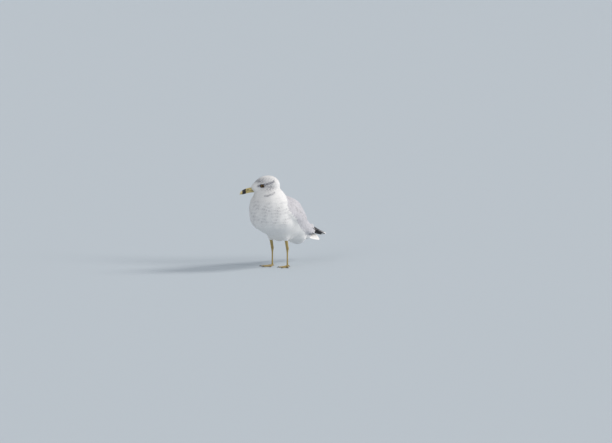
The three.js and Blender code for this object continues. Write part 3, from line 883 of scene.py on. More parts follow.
skin_ways = outside.seats(skin_points)[1]
rear, height = body_mm(skin_points).T[1:]
skin_grey = is_grey(skin_points, outermost(skin_points, skin_ways)) | ((rear > 60) & (height > 94))
skin_colours = mix(WHITE, DUSKY_AND_SHADE, 0.8 * dusk_and_fold_shade_at(skin_points)[:, None]) * 0.9
skin_colours = np.where(skin_grey[:, None], PEARL * 0.86, skin_colours)
lid_distance = eye_offsets(skin_points)[0]
on_lid = np.arange(len(skin_points)) >= lid_start
near_lid = (on_lid * smoothstep(8.2, 6.4, lid_distance))[:, None]
skin_colours = mix(skin_colours, linear(70, 62, 66), near_lid)
rim = on_lid & (lid_distance < 5.7)
skin_colours[rim] = linear(52, 44, 44)
skin_piece = build("skin", skin_points, skin_faces, skin_material,
                   replaces=FLESH, colours=skin_colours)
bpy.context.view_layer.objects.active = skin_piece
skin_piece.select_set(True)
bpy.ops.object.mode_set(mode="EDIT")
bpy.ops.mesh.select_all(action="SELECT")
bpy.ops.uv.smart_project(angle_limit=math.radians(66), island_margin=0.003)
bpy.ops.object.mode_set(mode="OBJECT")
skin_piece.select_set(False)
skin_piece.data.uv_layers[0].name = "OFBake"
skin_map = corner_map(skin_piece, "OFBake")
print("unwrap of the skin:", skin_map.shape, skin_map.min().round(3), skin_map.max().round(3))

# %% Roots spread over the outside, close on the face and wide on the back
rng = np.random.default_rng(7)
SPACING_FROM_BILL = ((0, 0.8), (8, 0.85), (22, 1.0), (45, 1.3), (75, 1.8), (120, 2.2), (240, 2.6))
SPACING_ABOVE = ((-60, 2.4), (-20, 3.1), (30, 4.2), (90, 5.4))  # by y, on mantle and wings
BARE = ("leg", "claw", "foot", "bill", "eye", "primaries", "tail")
CROWDING = 7  # places tried for each root that is wanted


def spacing_at(points, grey):
    y = body_mm(points)[:, 1]
    small = np.interp(face_distance(points), *np.array(SPACING_FROM_BILL).T)
    large = np.interp(y, *np.array(SPACING_ABOVE).T)
    return np.where(grey, np.maximum(small, large), small) * MM


def spread_roots(surface):
    """Places on a surface, each kept clear of the others by the spacing wanted there."""
    centres = surface.points[surface.faces].mean(1)
    names = outermost(centres, unit(surface.normals[surface.faces].mean(1)))
    bare = np.array([n.startswith(BARE) for n in names])
    spacing = spacing_at(centres, is_grey(centres, names))
    wanted = np.where(bare, 0, surface.areas / spacing**2) * CROWDING
    chosen = rng.choice(len(centres), int(wanted.sum()), p=wanted / wanted.sum())
    u, v = rng.random((2, len(chosen), 1))
    u, v = np.where(u + v > 1, 1 - u, u), np.where(u + v > 1, 1 - v, v)
    a, b, c = surface.points[surface.faces[chosen]].transpose(1, 0, 2)
    places = a + (b - a) * u + (c - a) * v
    tree = KDTree(len(places))
    for i, place in enumerate(places.tolist()):
        tree.insert(place, i)
    tree.balance()
    free, kept = np.ones(len(places), bool), []
    for i, place in enumerate(places.tolist()):
        if free[i]:
            kept.append(i)
            free[[hit[1] for hit in tree.find_range(place, spacing[chosen[i]])]] = False
    return places[kept]


roots = spread_roots(outside)
print("places for feathers:", len(roots))

# %% Leave out roots on the bill, by the eyes, and under the long feathers
LONG_FROM = {"mantle": 138, "wing": 152}  # y from where long feathers cover mantle and wings
BETWEEN_LONG = (118, 14)  # y from where they cover the middle of the back, and half its width

roots, root_ways = outside.seats(roots)
root_names = outermost(roots, root_ways)
root_lie = lie_at(roots, root_ways, root_names)
forward, up = head_mm(roots).T[[0, 2]]
x, y = body_mm(roots).T[:2]
root_grey = is_grey(roots, root_names)
root_size = spacing_at(roots, root_grey) / MM
bare = np.array([n.startswith(BARE) for n in root_names]) | ((forward > 31.5) & (up > -26))
for reach in (0, 1.2, 2.2):
    off_axis, side = eye_offsets(roots + root_lie * root_size[:, None] * reach * MM)
    bare |= (off_axis < 4.8) & (np.abs(side) > 9)
bare |= root_grey & (y > np.where(root_names == "mantle", LONG_FROM["mantle"], LONG_FROM["wing"]))
bare |= root_grey & (y > BETWEEN_LONG[0]) & (np.abs(x) < BETWEEN_LONG[1])
keep = ~bare
roots, root_ways, root_lie, root_grey, root_size, root_names = (
    rows[keep] for rows in (roots, root_ways, root_lie, root_grey, root_size, root_names))
print("feathers:", len(roots), "of which grey:", int(root_grey.sum()))

# %% [markdown]
# ## One vane, laid thousands of times
#
# A contour feather is a rounded, slightly domed vane. Its template is a small grid whose rows
# follow each other along the shaft, up to a rounded, slightly frayed tip. Instances of one stiff
# feather would be lighter, but they would stand off where the body curves. So each copy is laid on
# the outside surface point by point, and is sunk deep at its root and little at its tip. Normals
# are blended with those of the body, as real barbs shade softly.

# %% Lay vanes on the surface
ALONG = np.array([0.0, 0.14, 0.32, 0.52, 0.72, 0.88, 1.0])
ACROSS = np.linspace(-1, 1, 7)
POINTS_PER_VANE = len(ALONG) * len(ACROSS)
vane_width = knots((0, 0.45), (0.2, 0.8), (0.45, 1.0), (0.72, 0.97), (0.9, 0.76), (1, 0.5))
FRINGE = np.array([0, -0.1, 0.02, -0.08, 0.02, -0.1, 0])  # how the tip splits into clumps of barbs
FRAY = 0.045  # how unevenly it ends, as a share of the length
TIP_SINK = 0.35 * MM
VANE_DOME = 0.06  # how far the vane's edges bend down, as a share of half its width


def lay_vanes(roots, ways, lie, length, half_width, root_sink, tip_sink, pointed, fringed, loose):
    """Points, body normals, and place on the vane (along, across) for every vane's points."""
    count = len(roots)
    a, c = np.meshgrid(ALONG, ACROSS, indexing="ij")
    roundness = mix(0.24, 0.55, pointed)[:, None, None]
    along = a - roundness * np.abs(c) ** 1.6 * a**3
    fray = rng.normal(0, FRAY, (count, 2, len(ACROSS))) * np.array([0.3, 1])[:, None]
    along[:, -2:] += fray * fringed[:, None, None]
    along[:, -1] += FRINGE * fringed[:, None]
    along[:, -1] = np.maximum(along[:, -1], along[:, -2] + 0.02)
    across = np.broadcast_to(c * vane_width(a), along.shape)
    side = np.cross(lie, ways)
    flat = (roots[:, None, None] + lie[:, None, None] * (along * length[:, None, None])[..., None]
            + side[:, None, None] * (across * half_width[:, None, None])[..., None])
    spots, normals = outside.seats(flat.reshape(-1, 3))
    out_of_skin = smoothstep(0, 0.2, along)
    shallow = 0.3 * root_sink + TIP_SINK
    rise = np.clip((along - ALONG[1]) / (1 - ALONG[1]), 0, 1) ** 0.8
    sink = mix(root_sink[:, None, None], shallow[:, None, None], out_of_skin)
    sink = mix(sink, tip_sink[:, None, None], rise)
    sink = sink + VANE_DOME * half_width[:, None, None] * c**2
    free = (loose[:, None, None] * smoothstep(0.25, 1, along)).reshape(-1, 1)
    points = mix(spots, flat.reshape(-1, 3), free) - normals * sink.reshape(-1, 1)
    return points, normals, along.reshape(-1), across.reshape(-1)


print("a vane:", len(ALONG), "rows of", len(ACROSS), "points")

# %% The size and stance of every feather
VENT_CORNER = (100, 54)  # y and z of the corner behind the legs, where feathers stand off
VENT_REACH = 12

size = root_size * rng.uniform(0.92, 1.1, len(roots)) * MM
slender = np.where(root_grey, 0, smoothstep(130, 45, face_distance(roots)))
x, y, z = body_mm(roots).T
over_flank = z - np.interp(y, *np.array(FLANK_LINE).T)
on_wing = root_grey & np.char.startswith(root_names, "wing")
lower_wing = smoothstep(30, 14, over_flank) * smoothstep(-30, 10, y)
lower_wing = on_wing * np.maximum(lower_wing, smoothstep(50, 80, y))
length = size * np.where(root_grey, 4.0 + 2.3 * lower_wing, mix(4.8, 6.2, slender))
fringed = np.where(root_grey, 0.25, 1 - 0.7 * slender)
half_width = size * np.where(root_grey, 1.2 - 0.25 * lower_wing, mix(1.1, 0.8, slender))
by_eye = smoothstep(11, 5, eye_offsets(roots)[0]) * (np.abs(eye_offsets(roots)[1]) > 9)
length = length * (1 - 0.45 * by_eye)
depth = coat_depth(roots)
turn = rng.normal(0, 0.07, len(roots))[:, None]
root_lie = unit(root_lie + np.cross(root_ways, root_lie) * turn)
tip_sink = TIP_SINK + rng.uniform(0, 0.06, len(roots)) * depth
from_vent = np.linalg.norm(np.stack([x * 0.6, y - VENT_CORNER[0], z - VENT_CORNER[1]]), axis=0)
loose = 0.45 * np.exp(-((from_vent / VENT_REACH) ** 2)) * ~root_grey
vane_points, vane_normals, vane_along, vane_across = lay_vanes(
    roots, root_ways, root_lie, length, half_width, depth * 0.7, tip_sink, slender, fringed, loose)
print("vane points:", len(vane_points))


# %% Colours of the small feathers
def each(values):
    """One value per feather, repeated for all its points."""
    return np.repeat(values, POINTS_PER_VANE, axis=0)


# Painted shade in the gap between the scapulars and the coverts of the folded wing, along this line.
FEATHER_GAP_SHADE = ((-33, 194), (-14, 178), (19, 163), (49, 147))  # y and z, above the folded wing


def coat_colours():
    count = len(roots)
    on_breast = head_mm(roots)[:, 2] < -32
    flecked = rng.uniform(0.35, 1.0, count)
    dusk_and_shade = np.where(on_breast, flecked * dusk_and_fold_shade_at(roots), rng.uniform(0.4, 1.5, count))
    # The head's streaks also carry the painted shade of the cheek fold.
    streak_and_fold_shade = dusk_and_fold_shade_at(vane_points) * (0.75 + 0.25 * np.cos(vane_across * 9))
    fleck = (np.exp(-((vane_across / 0.8) ** 4))
             * np.exp(-(((vane_along + 0.12 * vane_across**2 - 0.84) / 0.12) ** 2)))
    fleck = 0.35 + 0.65 * fleck
    mark_and_fold_shade = np.clip(each(dusk_and_shade) * np.where(each(on_breast), fleck, streak_and_fold_shade), 0, 1)[:, None]
    # Painted shade: white and grey vanes are darker towards the root, where the feathers above cover
    # them.
    white = WHITE * (0.9 + 0.1 * smoothstep(0.3, 0.9, vane_along))[:, None]
    pearl = PEARL * each(rng.uniform(0.93, 1.05, count))[:, None]
    pearl = pearl * (0.82 + 0.18 * smoothstep(0.35, 0.85, vane_along))[:, None]
    x, y, z = body_mm(roots).T
    # Painted shade: grey feathers near that line are darkened.
    gap_shade = near_line(y, z, FEATHER_GAP_SHADE, 8) * smoothstep(26, 40, np.abs(x))
    gap_shade = gap_shade * (0.55 + 0.45 * np.sin(y * 0.36 + 1.1)) * rng.uniform(0.4, 1.2, count)
    pearl = pearl * (1 - 0.38 * np.clip(each(gap_shade), 0, 1))[:, None]
    edge = np.maximum(smoothstep(0.86, 1.0, vane_along), smoothstep(0.78, 1.0, np.abs(vane_across)))
    ending = on_wing * smoothstep(112, 132, y)
    white_end = each(ending) * smoothstep(0.74, 0.84, vane_along)
    pearl = mix(pearl, WHITE, np.maximum(0.4 * edge, white_end)[:, None])
    base = np.where(each(root_grey)[:, None], pearl, white)
    return mix(base, DUSKY_AND_SHADE, mark_and_fold_shade)


vane_colours = coat_colours()
print("mean colour of the coat:", vane_colours.mean(0).round(2))

# %% Map places of the vanes, softer normals, and vanes to leave out
PATCH = 0.0015  # half of a tuft's patch on the unwrap
root_triangles, root_weights = skin.nearest(roots)[1:]
root_places = (skin_map[root_triangles] * root_weights[:, :, None]).sum(1)
bake_places = each(root_places) + np.stack([vane_across, vane_along * 2 - 1], 1) * PATCH
barb_places = np.stack([vane_across * each(half_width), vane_along * each(length)], 1) / (10 * MM)


def soften_normals(piece, normals, share):
    """Normals part way between the mesh's own and the body's under it."""
    own = mesh_arrays(piece.data)[1]
    agree = (own * normals).sum(1, keepdims=True) > 0.3
    blended = np.where(agree, unit(mix(own, normals, share)), own).astype(np.float32)
    layer = piece.data.attributes.new("custom_normal", "FLOAT_VECTOR", "POINT")
    layer.data.foreach_set("vector", blended.ravel())


facing = (vane_normals * each(root_ways)).sum(1).reshape(-1, POINTS_PER_VANE).min(1)
folded = facing < np.where(root_grey & (y > 80), 0.4, -0.1)  # laid over an edge, they fold back
print("feathers left out at edges:", int(folded.sum()))

# %% The coat in pieces
MOST_TRIANGLES = 190000  # of one piece
TRIANGLES_PER_VANE = 2 * (len(ALONG) - 1) * (len(ACROSS) - 1)


def lay_coat(name, chosen, share=0.8):
    """The chosen feathers as pieces, none too large for the export."""
    most = MOST_TRIANGLES // TRIANGLES_PER_VANE
    numbers = np.flatnonzero(chosen & ~folded)
    for part, start in enumerate(range(0, len(numbers), most)):
        taken = numbers[start:start + most]
        rows = (taken[:, None] * POINTS_PER_VANE + np.arange(POINTS_PER_VANE)).ravel()
        piece = build(f"{name}_{part + 1}", vane_points[rows],
                      grid_faces(len(ALONG), len(ACROSS), len(taken)), plumage_material,
                      colours=vane_colours[rows],
                      maps={"OFBake": bake_places[rows], "vane": barb_places[rows]})
        soften_normals(piece, vane_normals[rows], share)


on_head = head_mm(roots)[:, 2] > -30
rear = body_mm(roots)[:, 1] > 10
lay_coat("coat_head", on_head & ~root_grey)
lay_coat("coat_breast", ~on_head & ~root_grey & ~rear)
lay_coat("coat_belly", ~on_head & ~root_grey & rear)
lay_coat("coat_back", root_grey, share=0.6)

# %% [markdown]
# ## Long feathers of wings and tail
#
# The wing tip, the inner wing feathers that close over the back, and the tail are single large
# feathers, stiff and straight, with a shaft that shows. A flat card with a painted feather would do
# from afar, but it has no edge to catch the light. So each is a thin closed blade along its own
# shaft: a domed top, a hollow underside, a ridge for the shaft and a rounded tip. They spread much
# as the solids of wings and tail do, but there are more of them to a wing.

# %% A thin closed blade along a shaft
BLADE_ROWS, BLADE_COLUMNS = 26, 13
SHAFT_POINTS = 400  # places worked out along a shaft, of which each row takes the nearest


def turned_frames(points, roll=0.0):
    """Across and up directions of sections along a path, rolled about it."""
    ahead = unit(np.gradient(points, axis=0))
    out = unit(np.array([1.0, 0, 0]) - ahead * ahead[:, :1])
    above = np.cross(out, ahead)
    cosine, sine = math.cos(roll), math.sin(roll)
    return out * cosine + above * sine, above * cosine - out * sine


def blade(shaft, width, hand, roll=0.0, thickness=0.7, tip=0.1, dome=0.12, shaft_place=0.0):
    """One long feather: points in metres, its faces, and along and across for each point.

    shaft is points in millimetres from between the heels; width is half the vane's width along it;
    shaft_place shifts the shaft towards the narrow outer vane.
    """
    a = 1 - np.linspace(1, 0, BLADE_ROWS) ** 1.7  # rows lie closer towards the tip
    fine = smooth_path(shaft, SHAFT_POINTS)
    length = np.linalg.norm(np.diff(fine, axis=0), axis=1).sum()
    path = fine[np.round(a * (SHAFT_POINTS - 1)).astype(int)]
    c = np.sin(np.linspace(-1, 1, BLADE_COLUMNS) * math.pi / 2)
    across, above = turned_frames(path, roll)
    near_tip = np.clip((1 - a) / tip, 0, 1)
    outline = width(a) * np.maximum(1 - (1 - near_tip) ** 2.2, 0) ** (1 / 2.2)
    outline = np.maximum(outline, 0.12)
    spread = outline[:, None] * (c[None] - shaft_place * (1 - c[None] ** 2))
    lift = dome * width(a)[:, None] * (1 - c[None] ** 2)
    ridge = 0.35 * np.exp(-(((c[None] + shaft_place) / 0.07) ** 2)) * (1.15 - a[:, None])
    half = thickness / 2 * np.sqrt(np.maximum(1 - c[None] ** 2, 0)) + 0.06
    sheets = []
    for height in (lift + half + ridge, lift - half - 0.6 * ridge):
        sheet = (path[:, None] + across[:, None] * spread[..., None]
                 + above[:, None] * (height - lift.max() * 0.5)[..., None])
        sheets.append(sheet.reshape(-1, 3))
    faces = sheet_faces(BLADE_ROWS, BLADE_COLUMNS)
    points, faces = on_side(hand, np.concatenate(sheets), faces)
    along = np.tile(np.repeat(a, BLADE_COLUMNS), 2)
    sideways = np.tile(np.tile(c, BLADE_ROWS), 2)
    return {"points": onto_body(points), "faces": faces, "along": along, "across": sideways,
            "length": length, "width": float(width(0.5))}


print("a blade:", 2 * BLADE_ROWS * BLADE_COLUMNS, "points")

# %% Several blades as one piece, and their colours
GRID_OF_BLADES = 4  # blades per row of the square that each piece's baking map is divided into


def feather_piece(name, blades, colour, replaces):
    """Several blades as one piece. colour gives a row for each point of a blade."""
    points, faces = stacked([(b["points"], b["faces"]) for b in blades])
    colours, bake, vane = [], [], []
    for i, b in enumerate(blades):
        colours.append(colour(i, b))
        side = np.repeat([0, 1], len(b["points"]) // 2)
        cell = np.array([i % GRID_OF_BLADES, i // GRID_OF_BLADES])
        u = (cell[0] + 0.04 + (side + (b["across"] + 1) / 2 * 0.9) * 0.48) / GRID_OF_BLADES
        v = (cell[1] + 0.04 + b["along"] * 0.92) / GRID_OF_BLADES
        bake.append(np.stack([u, v], 1))
        vane.append(np.stack([b["across"] * b["width"], b["along"] * b["length"]], 1) / 10)
    return build(name, points, faces, flight_material, replaces,
                 colours=np.concatenate(colours),
                 maps={"OFBake": np.concatenate(bake), "vane": np.concatenate(vane)})


def graded(base, tip_colour, tip_length, blade_data, edge=0.0):
    """A base colour that turns into another over the last millimetres, and along the edges."""
    from_tip = (1 - blade_data["along"]) * blade_data["length"]
    curved = from_tip + 2.5 * np.abs(blade_data["across"]) ** 2
    share = smoothstep(tip_length + 0.8, tip_length - 0.8, curved)
    rim = edge * smoothstep(0.72, 0.98, np.abs(blade_data["across"]))
    shaft_tone = 1 - 0.12 * np.exp(-((blade_data["across"] / 0.08) ** 2))
    return mix(base, tip_colour, np.maximum(share, rim)[:, None]) * shaft_tone[:, None]


print("blades on a piece's baking map:", GRID_OF_BLADES**2)

# %% Black wing tips with white ends
WING_TIP = np.array([3.0, 267.5, 74])
RIGHT_TIP_DROP = 3  # the right wing tip lies this much lower
WHITE_ENDS = (4, 4.5, 5, 6, 8, 11)  # of the long wing tip feathers, from the shortest
primary_width = knots((0, 7), (0.5, 7), (0.85, 5.6), (1, 5))


def primary(number, hand):
    share = number / (len(WHITE_ENDS) - 1)  # 0 for the shortest, 1 for the longest
    root = np.array([mix(28, 25, share), 126, mix(98, 95, share)])
    base = np.array([mix(26, 16, share), 140, mix(98, 93, share)])
    tip = mix(WING_TIP, base, mix(0.5, 0, share**0.8))
    tip += (mix(3.2, 0, share), 0, mix(3, 0, share) - (RIGHT_TIP_DROP if hand == RIGHT else 0))
    middle = mix(base, tip, 0.5) + (1, 0, 4.6)
    under = mix(base, middle, 0.55) - (2, 0, 3)
    return blade([root, under, middle, tip], primary_width, hand, roll=-0.8, tip=0.13,
                 shaft_place=-0.3)


def primary_colour(number, blade_data):
    return graded(BLACK, WHITE * 0.97, WHITE_ENDS[number], blade_data)


for hand, name in SIDES:
    feather_piece(f"wing_tip_{name}", [primary(i, hand) for i in range(len(WHITE_ENDS))],
                  primary_colour, [f"primaries_{name}"])

# %% Inner wing feathers that close over the back, with their white crescent
TERTIALS = 7
LEFT_OVER = 1.2  # the innermost left one lies this much higher, over the right ones
tertial_width = knots((0, 7), (0.5, 9.2), (0.85, 9), (1, 8))


def tertial(number, hand):
    share = number / (TERTIALS - 1)  # 0 for the outermost and shortest, 1 for the innermost
    root = np.array([mix(38, 14, share), mix(86, 94, share), mix(117, 126, share)])
    middle = np.array([mix(33, 8, share), mix(118, 132, share), mix(112, 114.5, share)])
    tip = np.array([mix(24.5, 4.5, share), mix(158, 185.5, share), mix(99, 107, share)])
    for place in (root, middle, tip):
        place[2] += LEFT_OVER * share**2 * (hand == LEFT)
    return blade([root, middle, tip], tertial_width, hand, roll=mix(-0.42, -0.22, share), tip=0.2,
                 thickness=0.8, dome=0.08, shaft_place=-0.15)


def tertial_colour(number, blade_data):
    pearl = PEARL * (0.88 + 0.025 * (number % 3))
    return graded(pearl, WHITE, 9 + number % 2, blade_data, edge=0.4)


for hand, name in SIDES:
    feather_piece(f"tertials_{name}", [tertial(i, hand) for i in range(TERTIALS)],
                  tertial_colour, [f"wing_{name}"])

# %% The tail, folded into a low roof
TAIL_PAIRS = 6
TAIL_TIP, TAIL_ROOT = np.array([0, 205.5, 77]), np.array([0, 112, 97])
tail_width = knots((0, 4.4), (0.6, 5.4), (1, 5.9))


def tail_feather(spread, hand):
    root = TAIL_ROOT + (spread * 1.4, 0, -0.1 * spread**2)
    tip = TAIL_TIP + (spread * 3.1, -0.4 * spread, -0.4 * spread**2)
    middle = mix(root, tip, 0.5) + (0, 0, -6)
    return blade([root, middle, tip], tail_width, hand, roll=-math.atan(0.26 * spread), tip=0.06,
                 thickness=0.8, dome=0.06)


def tail_colour(number, blade_data):
    return graded(WHITE * (0.97 + 0.01 * (number % 3)), WHITE, 8, blade_data)


tail_blades = [tail_feather(i + 0.5, hand) for hand in (LEFT, RIGHT) for i in range(TAIL_PAIRS)]
feather_piece("tail_feathers", tail_blades, tail_colour, ["tail"])

# %% [markdown]
# ## The bill
#
# A gull's bill is two horny halves. The upper one is longer, hooks over the lower and overlaps its
# edge, and carries a slit of a nostril; the lower one has an angle underneath near its tip. Both
# are dull yellow with a black ring. They are made from sections that stand square to the bill's
# length, because each outline, of the ridge, the gape and the underside, is then one plain curve.

# %% The bill's outlines and one half of it
BILL_START, UPPER_END, LOWER_END = 16, 64.0, 61.9  # ahead of the eyes
BILL_ROWS, BILL_COLUMNS, CLOSING_COLUMNS = 70, 33, 5
# Curves as places ahead of the eyes, each with a height or a half width.
GAPE = ((16, -12.6), (23, -13.0), (30, -13.6), (42, -15.6), (52, -18.6), (58, -21.2), (61.5, -23.6),
        (63.8, -26.2))
RIDGE = ((16, -1.5), (24, -4.2), (31, -5.2), (37, -6.2), (43, -7.7), (49, -9.6), (55, -12.4),
         (60, -16.6), (62.8, -21.0), (64.2, -26.0))
UNDERSIDE = ((16, -19.5), (24, -19.4), (31, -19.8), (40, -21.2), (48, -23.2), (53, -24.6),
             (57, -24.9), (60, -24.9), (62.3, -24.6))
HALF_WIDTH = ((16, 6.2), (24, 5.8), (31, 5.2), (37, 4.6), (43, 4.2), (49, 3.8), (55, 3.2),
              (60, 2.3), (63, 1.35), (64.2, 0.5))
NOSTRIL = (41.0, 0.42, 3.6, 0.13)  # middle ahead, share of the height, half length, half height


def nostril_at(ahead, height):
    """1 in the slit of the nostril, 0 away from it. height is a share of the upper half's."""
    from_middle = (ahead - NOSTRIL[0]) / NOSTRIL[2]
    from_slit = (height - NOSTRIL[1] - 0.012 * (ahead - NOSTRIL[0])) / NOSTRIL[3]
    return np.exp(-(from_middle**4) - from_slit**2)


def bill_half(outline, narrower, end, upper):
    """Points in the head, quads and nostril marks of one half, from its outline to the gape."""
    ahead = BILL_START + (end - BILL_START) * np.linspace(0, 1, BILL_ROWS) ** 0.9
    gape = knots(*GAPE)(ahead)[:, None]
    height = np.abs(knots(*outline)(ahead)[:, None] - gape)
    half = knots(*HALF_WIDTH)(ahead)[:, None] * narrower
    ahead = ahead[:, None]
    sign, lip = (1, 0.35) if upper else (-1, 0.1)
    angle = np.linspace(0, math.pi, BILL_COLUMNS)[None]
    aside, away = np.cos(angle), np.sin(angle) ** 0.78  # away from the gape
    lip = lip * np.exp(-((away / 0.16) ** 2))
    left = half * aside + np.sign(aside) * lip * half * 0.3
    nostril = np.zeros_like(left)
    if upper:
        nostril = nostril_at(ahead, away)
        ridge = np.exp(-(((away - 0.72) / 0.2) ** 2))
        left = left * (1 - 0.3 * nostril) * (1 - 0.05 * ridge)
    outer = np.stack([ahead + 0 * left, left, gape + sign * height * away], -1)
    closing = np.linspace(1, 0, CLOSING_COLUMNS + 2)[None, 1:-1]
    palate = gape + sign * np.minimum(height, 1.2) * 0.5 * np.sin(closing * math.pi)
    inner = np.stack([ahead + 0 * palate, half * (1 - 2 * closing) * 0.96, palate], -1)
    points = np.concatenate([outer, inner], 1)
    marks = np.concatenate([nostril, np.zeros_like(palate)], 1)
    quads = ring_faces(BILL_ROWS, BILL_COLUMNS + CLOSING_COLUMNS)
    return points.reshape(-1, 3), quads if upper else quads[:, ::-1], marks.ravel()


print("the bill ends", max(UPPER_END, LOWER_END), "mm ahead of the eyes")

# %% The bill's colours and material
BILL_RING = (46.0, 56.8)


def bill_colours(places, nostril):
    ahead, left, up = places.T
    wobble = 0.35 * np.sin(up * 1.9) + 0.25 * np.sin(left * 2.7)
    ring = smoothstep(BILL_RING[0] - 0.5, BILL_RING[0] + 0.5, ahead + wobble)
    ring *= smoothstep(BILL_RING[1] + 0.6, BILL_RING[1] - 0.6, ahead + wobble)
    base = smoothstep(40, 22, ahead)[:, None]
    colour = mix(BILL_YELLOW, linear(156, 147, 112), 0.8 * base)
    colour = mix(colour, linear(226, 206, 142), smoothstep(56, 59, ahead)[:, None])
    gape = np.interp(ahead, *np.array(GAPE).T)
    # Painted shade along the gape, where the two halves meet.
    gape_shade = np.exp(-(((up - gape) / 0.55) ** 2))[:, None]
    colour = mix(colour, linear(96, 78, 50), 0.55 * gape_shade)
    colour = mix(colour, linear(26, 23, 24), ring[:, None])
    # Painted shade in the slit of the nostril.
    return mix(colour, linear(38, 30, 24), np.clip(1.5 * nostril, 0, 1)[:, None])


bill_material = natural_material(
    "bill horn", roughness=0.38, mottle_scale=350, tone=0.12, bump=0.25, bump_depth=0.12,
    Coat_Weight=0.25, Coat_Roughness=0.2, Specular_IOR_Level=0.5)
print("material:", bill_material.name)

# %% Both halves of the bill
GAP = 0.25  # between the halves, below the gape line
LOWERED = 0.5  # both halves lie this much lower than their curves


def bill_piece(half, outline, narrower, end):
    upper = half == "upper"
    places, quads, nostril = bill_half(outline, narrower, end, upper)
    if not upper:
        places[:, 2] -= GAP
    colours = bill_colours(places, nostril)
    points = np.array(between_eyes) + (places - (0, 0, LOWERED)) @ HEAD_AXES * MM
    return build(f"bill_{half}_horn", points, quads, bill_material,
                 [f"bill_{half}"], colours=colours)


bill_piece("upper", RIDGE, narrower=1.0, end=UPPER_END)
bill_piece("lower", UNDERSIDE, narrower=0.9, end=LOWER_END)

# %% [markdown]
# ## Eyes
#
# The iris of an adult gull is a thin ring round a wide pupil, behind a clear, strongly curved
# front. It could be a glass shell over an iris, but at this size a single glossy ball with a clear
# coat is enough, and it exports cleanly. Its colours are painted by distance from the middle.
# The iris is painted a darker amber than an adult gull's pale yellow, as painted shade.

# %% Eyeballs
PUPIL, IRIS = 2.75, 3.9  # radii in millimetres
IRIS_RAYS = 23
eye_material = natural_material(
    "eye", roughness=0.12, mottle_scale=1500, tone=0.2, bump=0.03, bump_depth=0.05,
    Specular_IOR_Level=0.0, Coat_Weight=1.0, Coat_Roughness=0.02, Coat_IOR=1.38)


def eyeball(hand, name):
    ball = bmesh.new()
    bmesh.ops.create_uvsphere(ball, u_segments=48, v_segments=40, radius=1)
    points = np.array([v.co for v in ball.verts])
    faces = sorted([v.index for v in f.verts] for f in ball.faces)  # their own order varies
    ball.free()
    triangles = np.array([t for f in faces for t in zip([f[0]] * (len(f) - 2), f[1:-1], f[2:])])
    forward, up, side = points.T
    rings = np.hypot(forward, up) * EYEBALL[0]
    # Painted shade: the iris is darker amber than an adult gull's pale yellow.
    iris = linear(150, 119, 58) * (1 + 0.12 * np.sin(np.arctan2(up, forward) * IRIS_RAYS))[:, None]
    iris = mix(iris, linear(88, 62, 32), smoothstep(3.0, 3.8, rings)[:, None])
    colour = mix(linear(8, 7, 8), iris, smoothstep(PUPIL - 0.15, PUPIL + 0.15, rings)[:, None])
    colour = mix(colour, linear(30, 24, 22), smoothstep(IRIS, IRIS + 0.3, rings)[:, None])
    local = np.stack([forward * EYEBALL[0], side * EYEBALL[1] * hand, up * EYEBALL[0]], 1)
    if hand == LEFT:
        triangles = triangles[:, ::-1]
    points = np.array(eye_centres[hand]) + local @ HEAD_AXES * MM
    return build(f"eyeball_{name}", points, triangles, eye_material, [f"eye_{name}"],
                 colours=colour)


for hand, name in SIDES:
    eyeball(hand, name)

# %% [markdown]
# ## Legs and feet
#
# The bare parts are covered in horny scales: a row of broad plates down the front of the shank and
# along the top of each toe, and small net-like scales elsewhere. The plates are real relief in the
# mesh, because their edges catch the light; the net is a cell pattern in the material. Each toe has
# pads underneath at its joints, and a thin web with fine wrinkles joins the three front ones.

# %% Tubes with plates, for legs and toes
def tube(spine, wide, high, rings, around, ends, relief=None):
    """A closed tube in millimetres, from sections along a spine, with optional relief.

    wide and high are half sizes along it, and ends are the shares of it that round off.
    """
    path = smooth_path(spine, rings)
    t = np.linspace(0, 1, rings)
    near = np.minimum(np.minimum(t / ends[0], (1 - t) / ends[1]), 1)
    cap = np.sqrt(np.maximum(1 - (1 - near) ** 2, 0.0004))
    across, above = turned_frames(path)
    angle = np.linspace(0, 2 * math.pi, around, endpoint=False)
    out = wide(t)[:, None] * np.cos(angle)[None]
    lift = high(t)[:, None] * np.sin(angle)[None]
    if relief:
        swell = relief(t[:, None], angle[None])
        out, lift = out * (1 + swell), lift * (1 + swell)
    points = (path[:, None] + across[:, None] * (out * cap[:, None])[..., None]
              + above[:, None] * (lift * cap[:, None])[..., None]).reshape(-1, 3)
    return points, ring_faces(rings, around)


def on_face(angle, where, spread):
    """1 on the side of a tube that faces the angle `where`, 0 on the other side."""
    return np.exp(-((np.angle(np.exp(1j * (angle - where))) / spread) ** 4))


def plates(count, height, where, spread):
    """Relief of overlapping plates along a tube, on one side of it."""
    def relief(t, angle):
        saw = (t * count) % 1.0
        return on_face(angle, where, spread) * height * (0.6 - saw * 0.9 - 0.9 * (saw > 0.88))
    return relief


print("a plate's relief at its start and end:", plates(1, 1, 0, 1)(np.array([0, 0.99]), 0).round(2))

# %% Horny skin and claws
SCALES_PER_METRE = 900
SCALE_EDGE = 4.0  # how steeply each scale rises from its edge


def scale_cells(tree, height):
    """Net-like scales: raised cells from a cell texture, added to the fine mottle."""
    place = node(tree, "ShaderNodeTexCoord")
    cells = node(tree, "ShaderNodeTexVoronoi", feature="DISTANCE_TO_EDGE")
    cells.inputs["Scale"].default_value = SCALES_PER_METRE
    tree.links.new(place.outputs["Object"], cells.inputs["Vector"])
    edge = math_node(tree, "MULTIPLY", cells.outputs[0], SCALE_EDGE)
    edge = math_node(tree, "MINIMUM", edge, 1.0)
    return math_node(tree, "ADD", edge, math_node(tree, "MULTIPLY", height, 0.4))


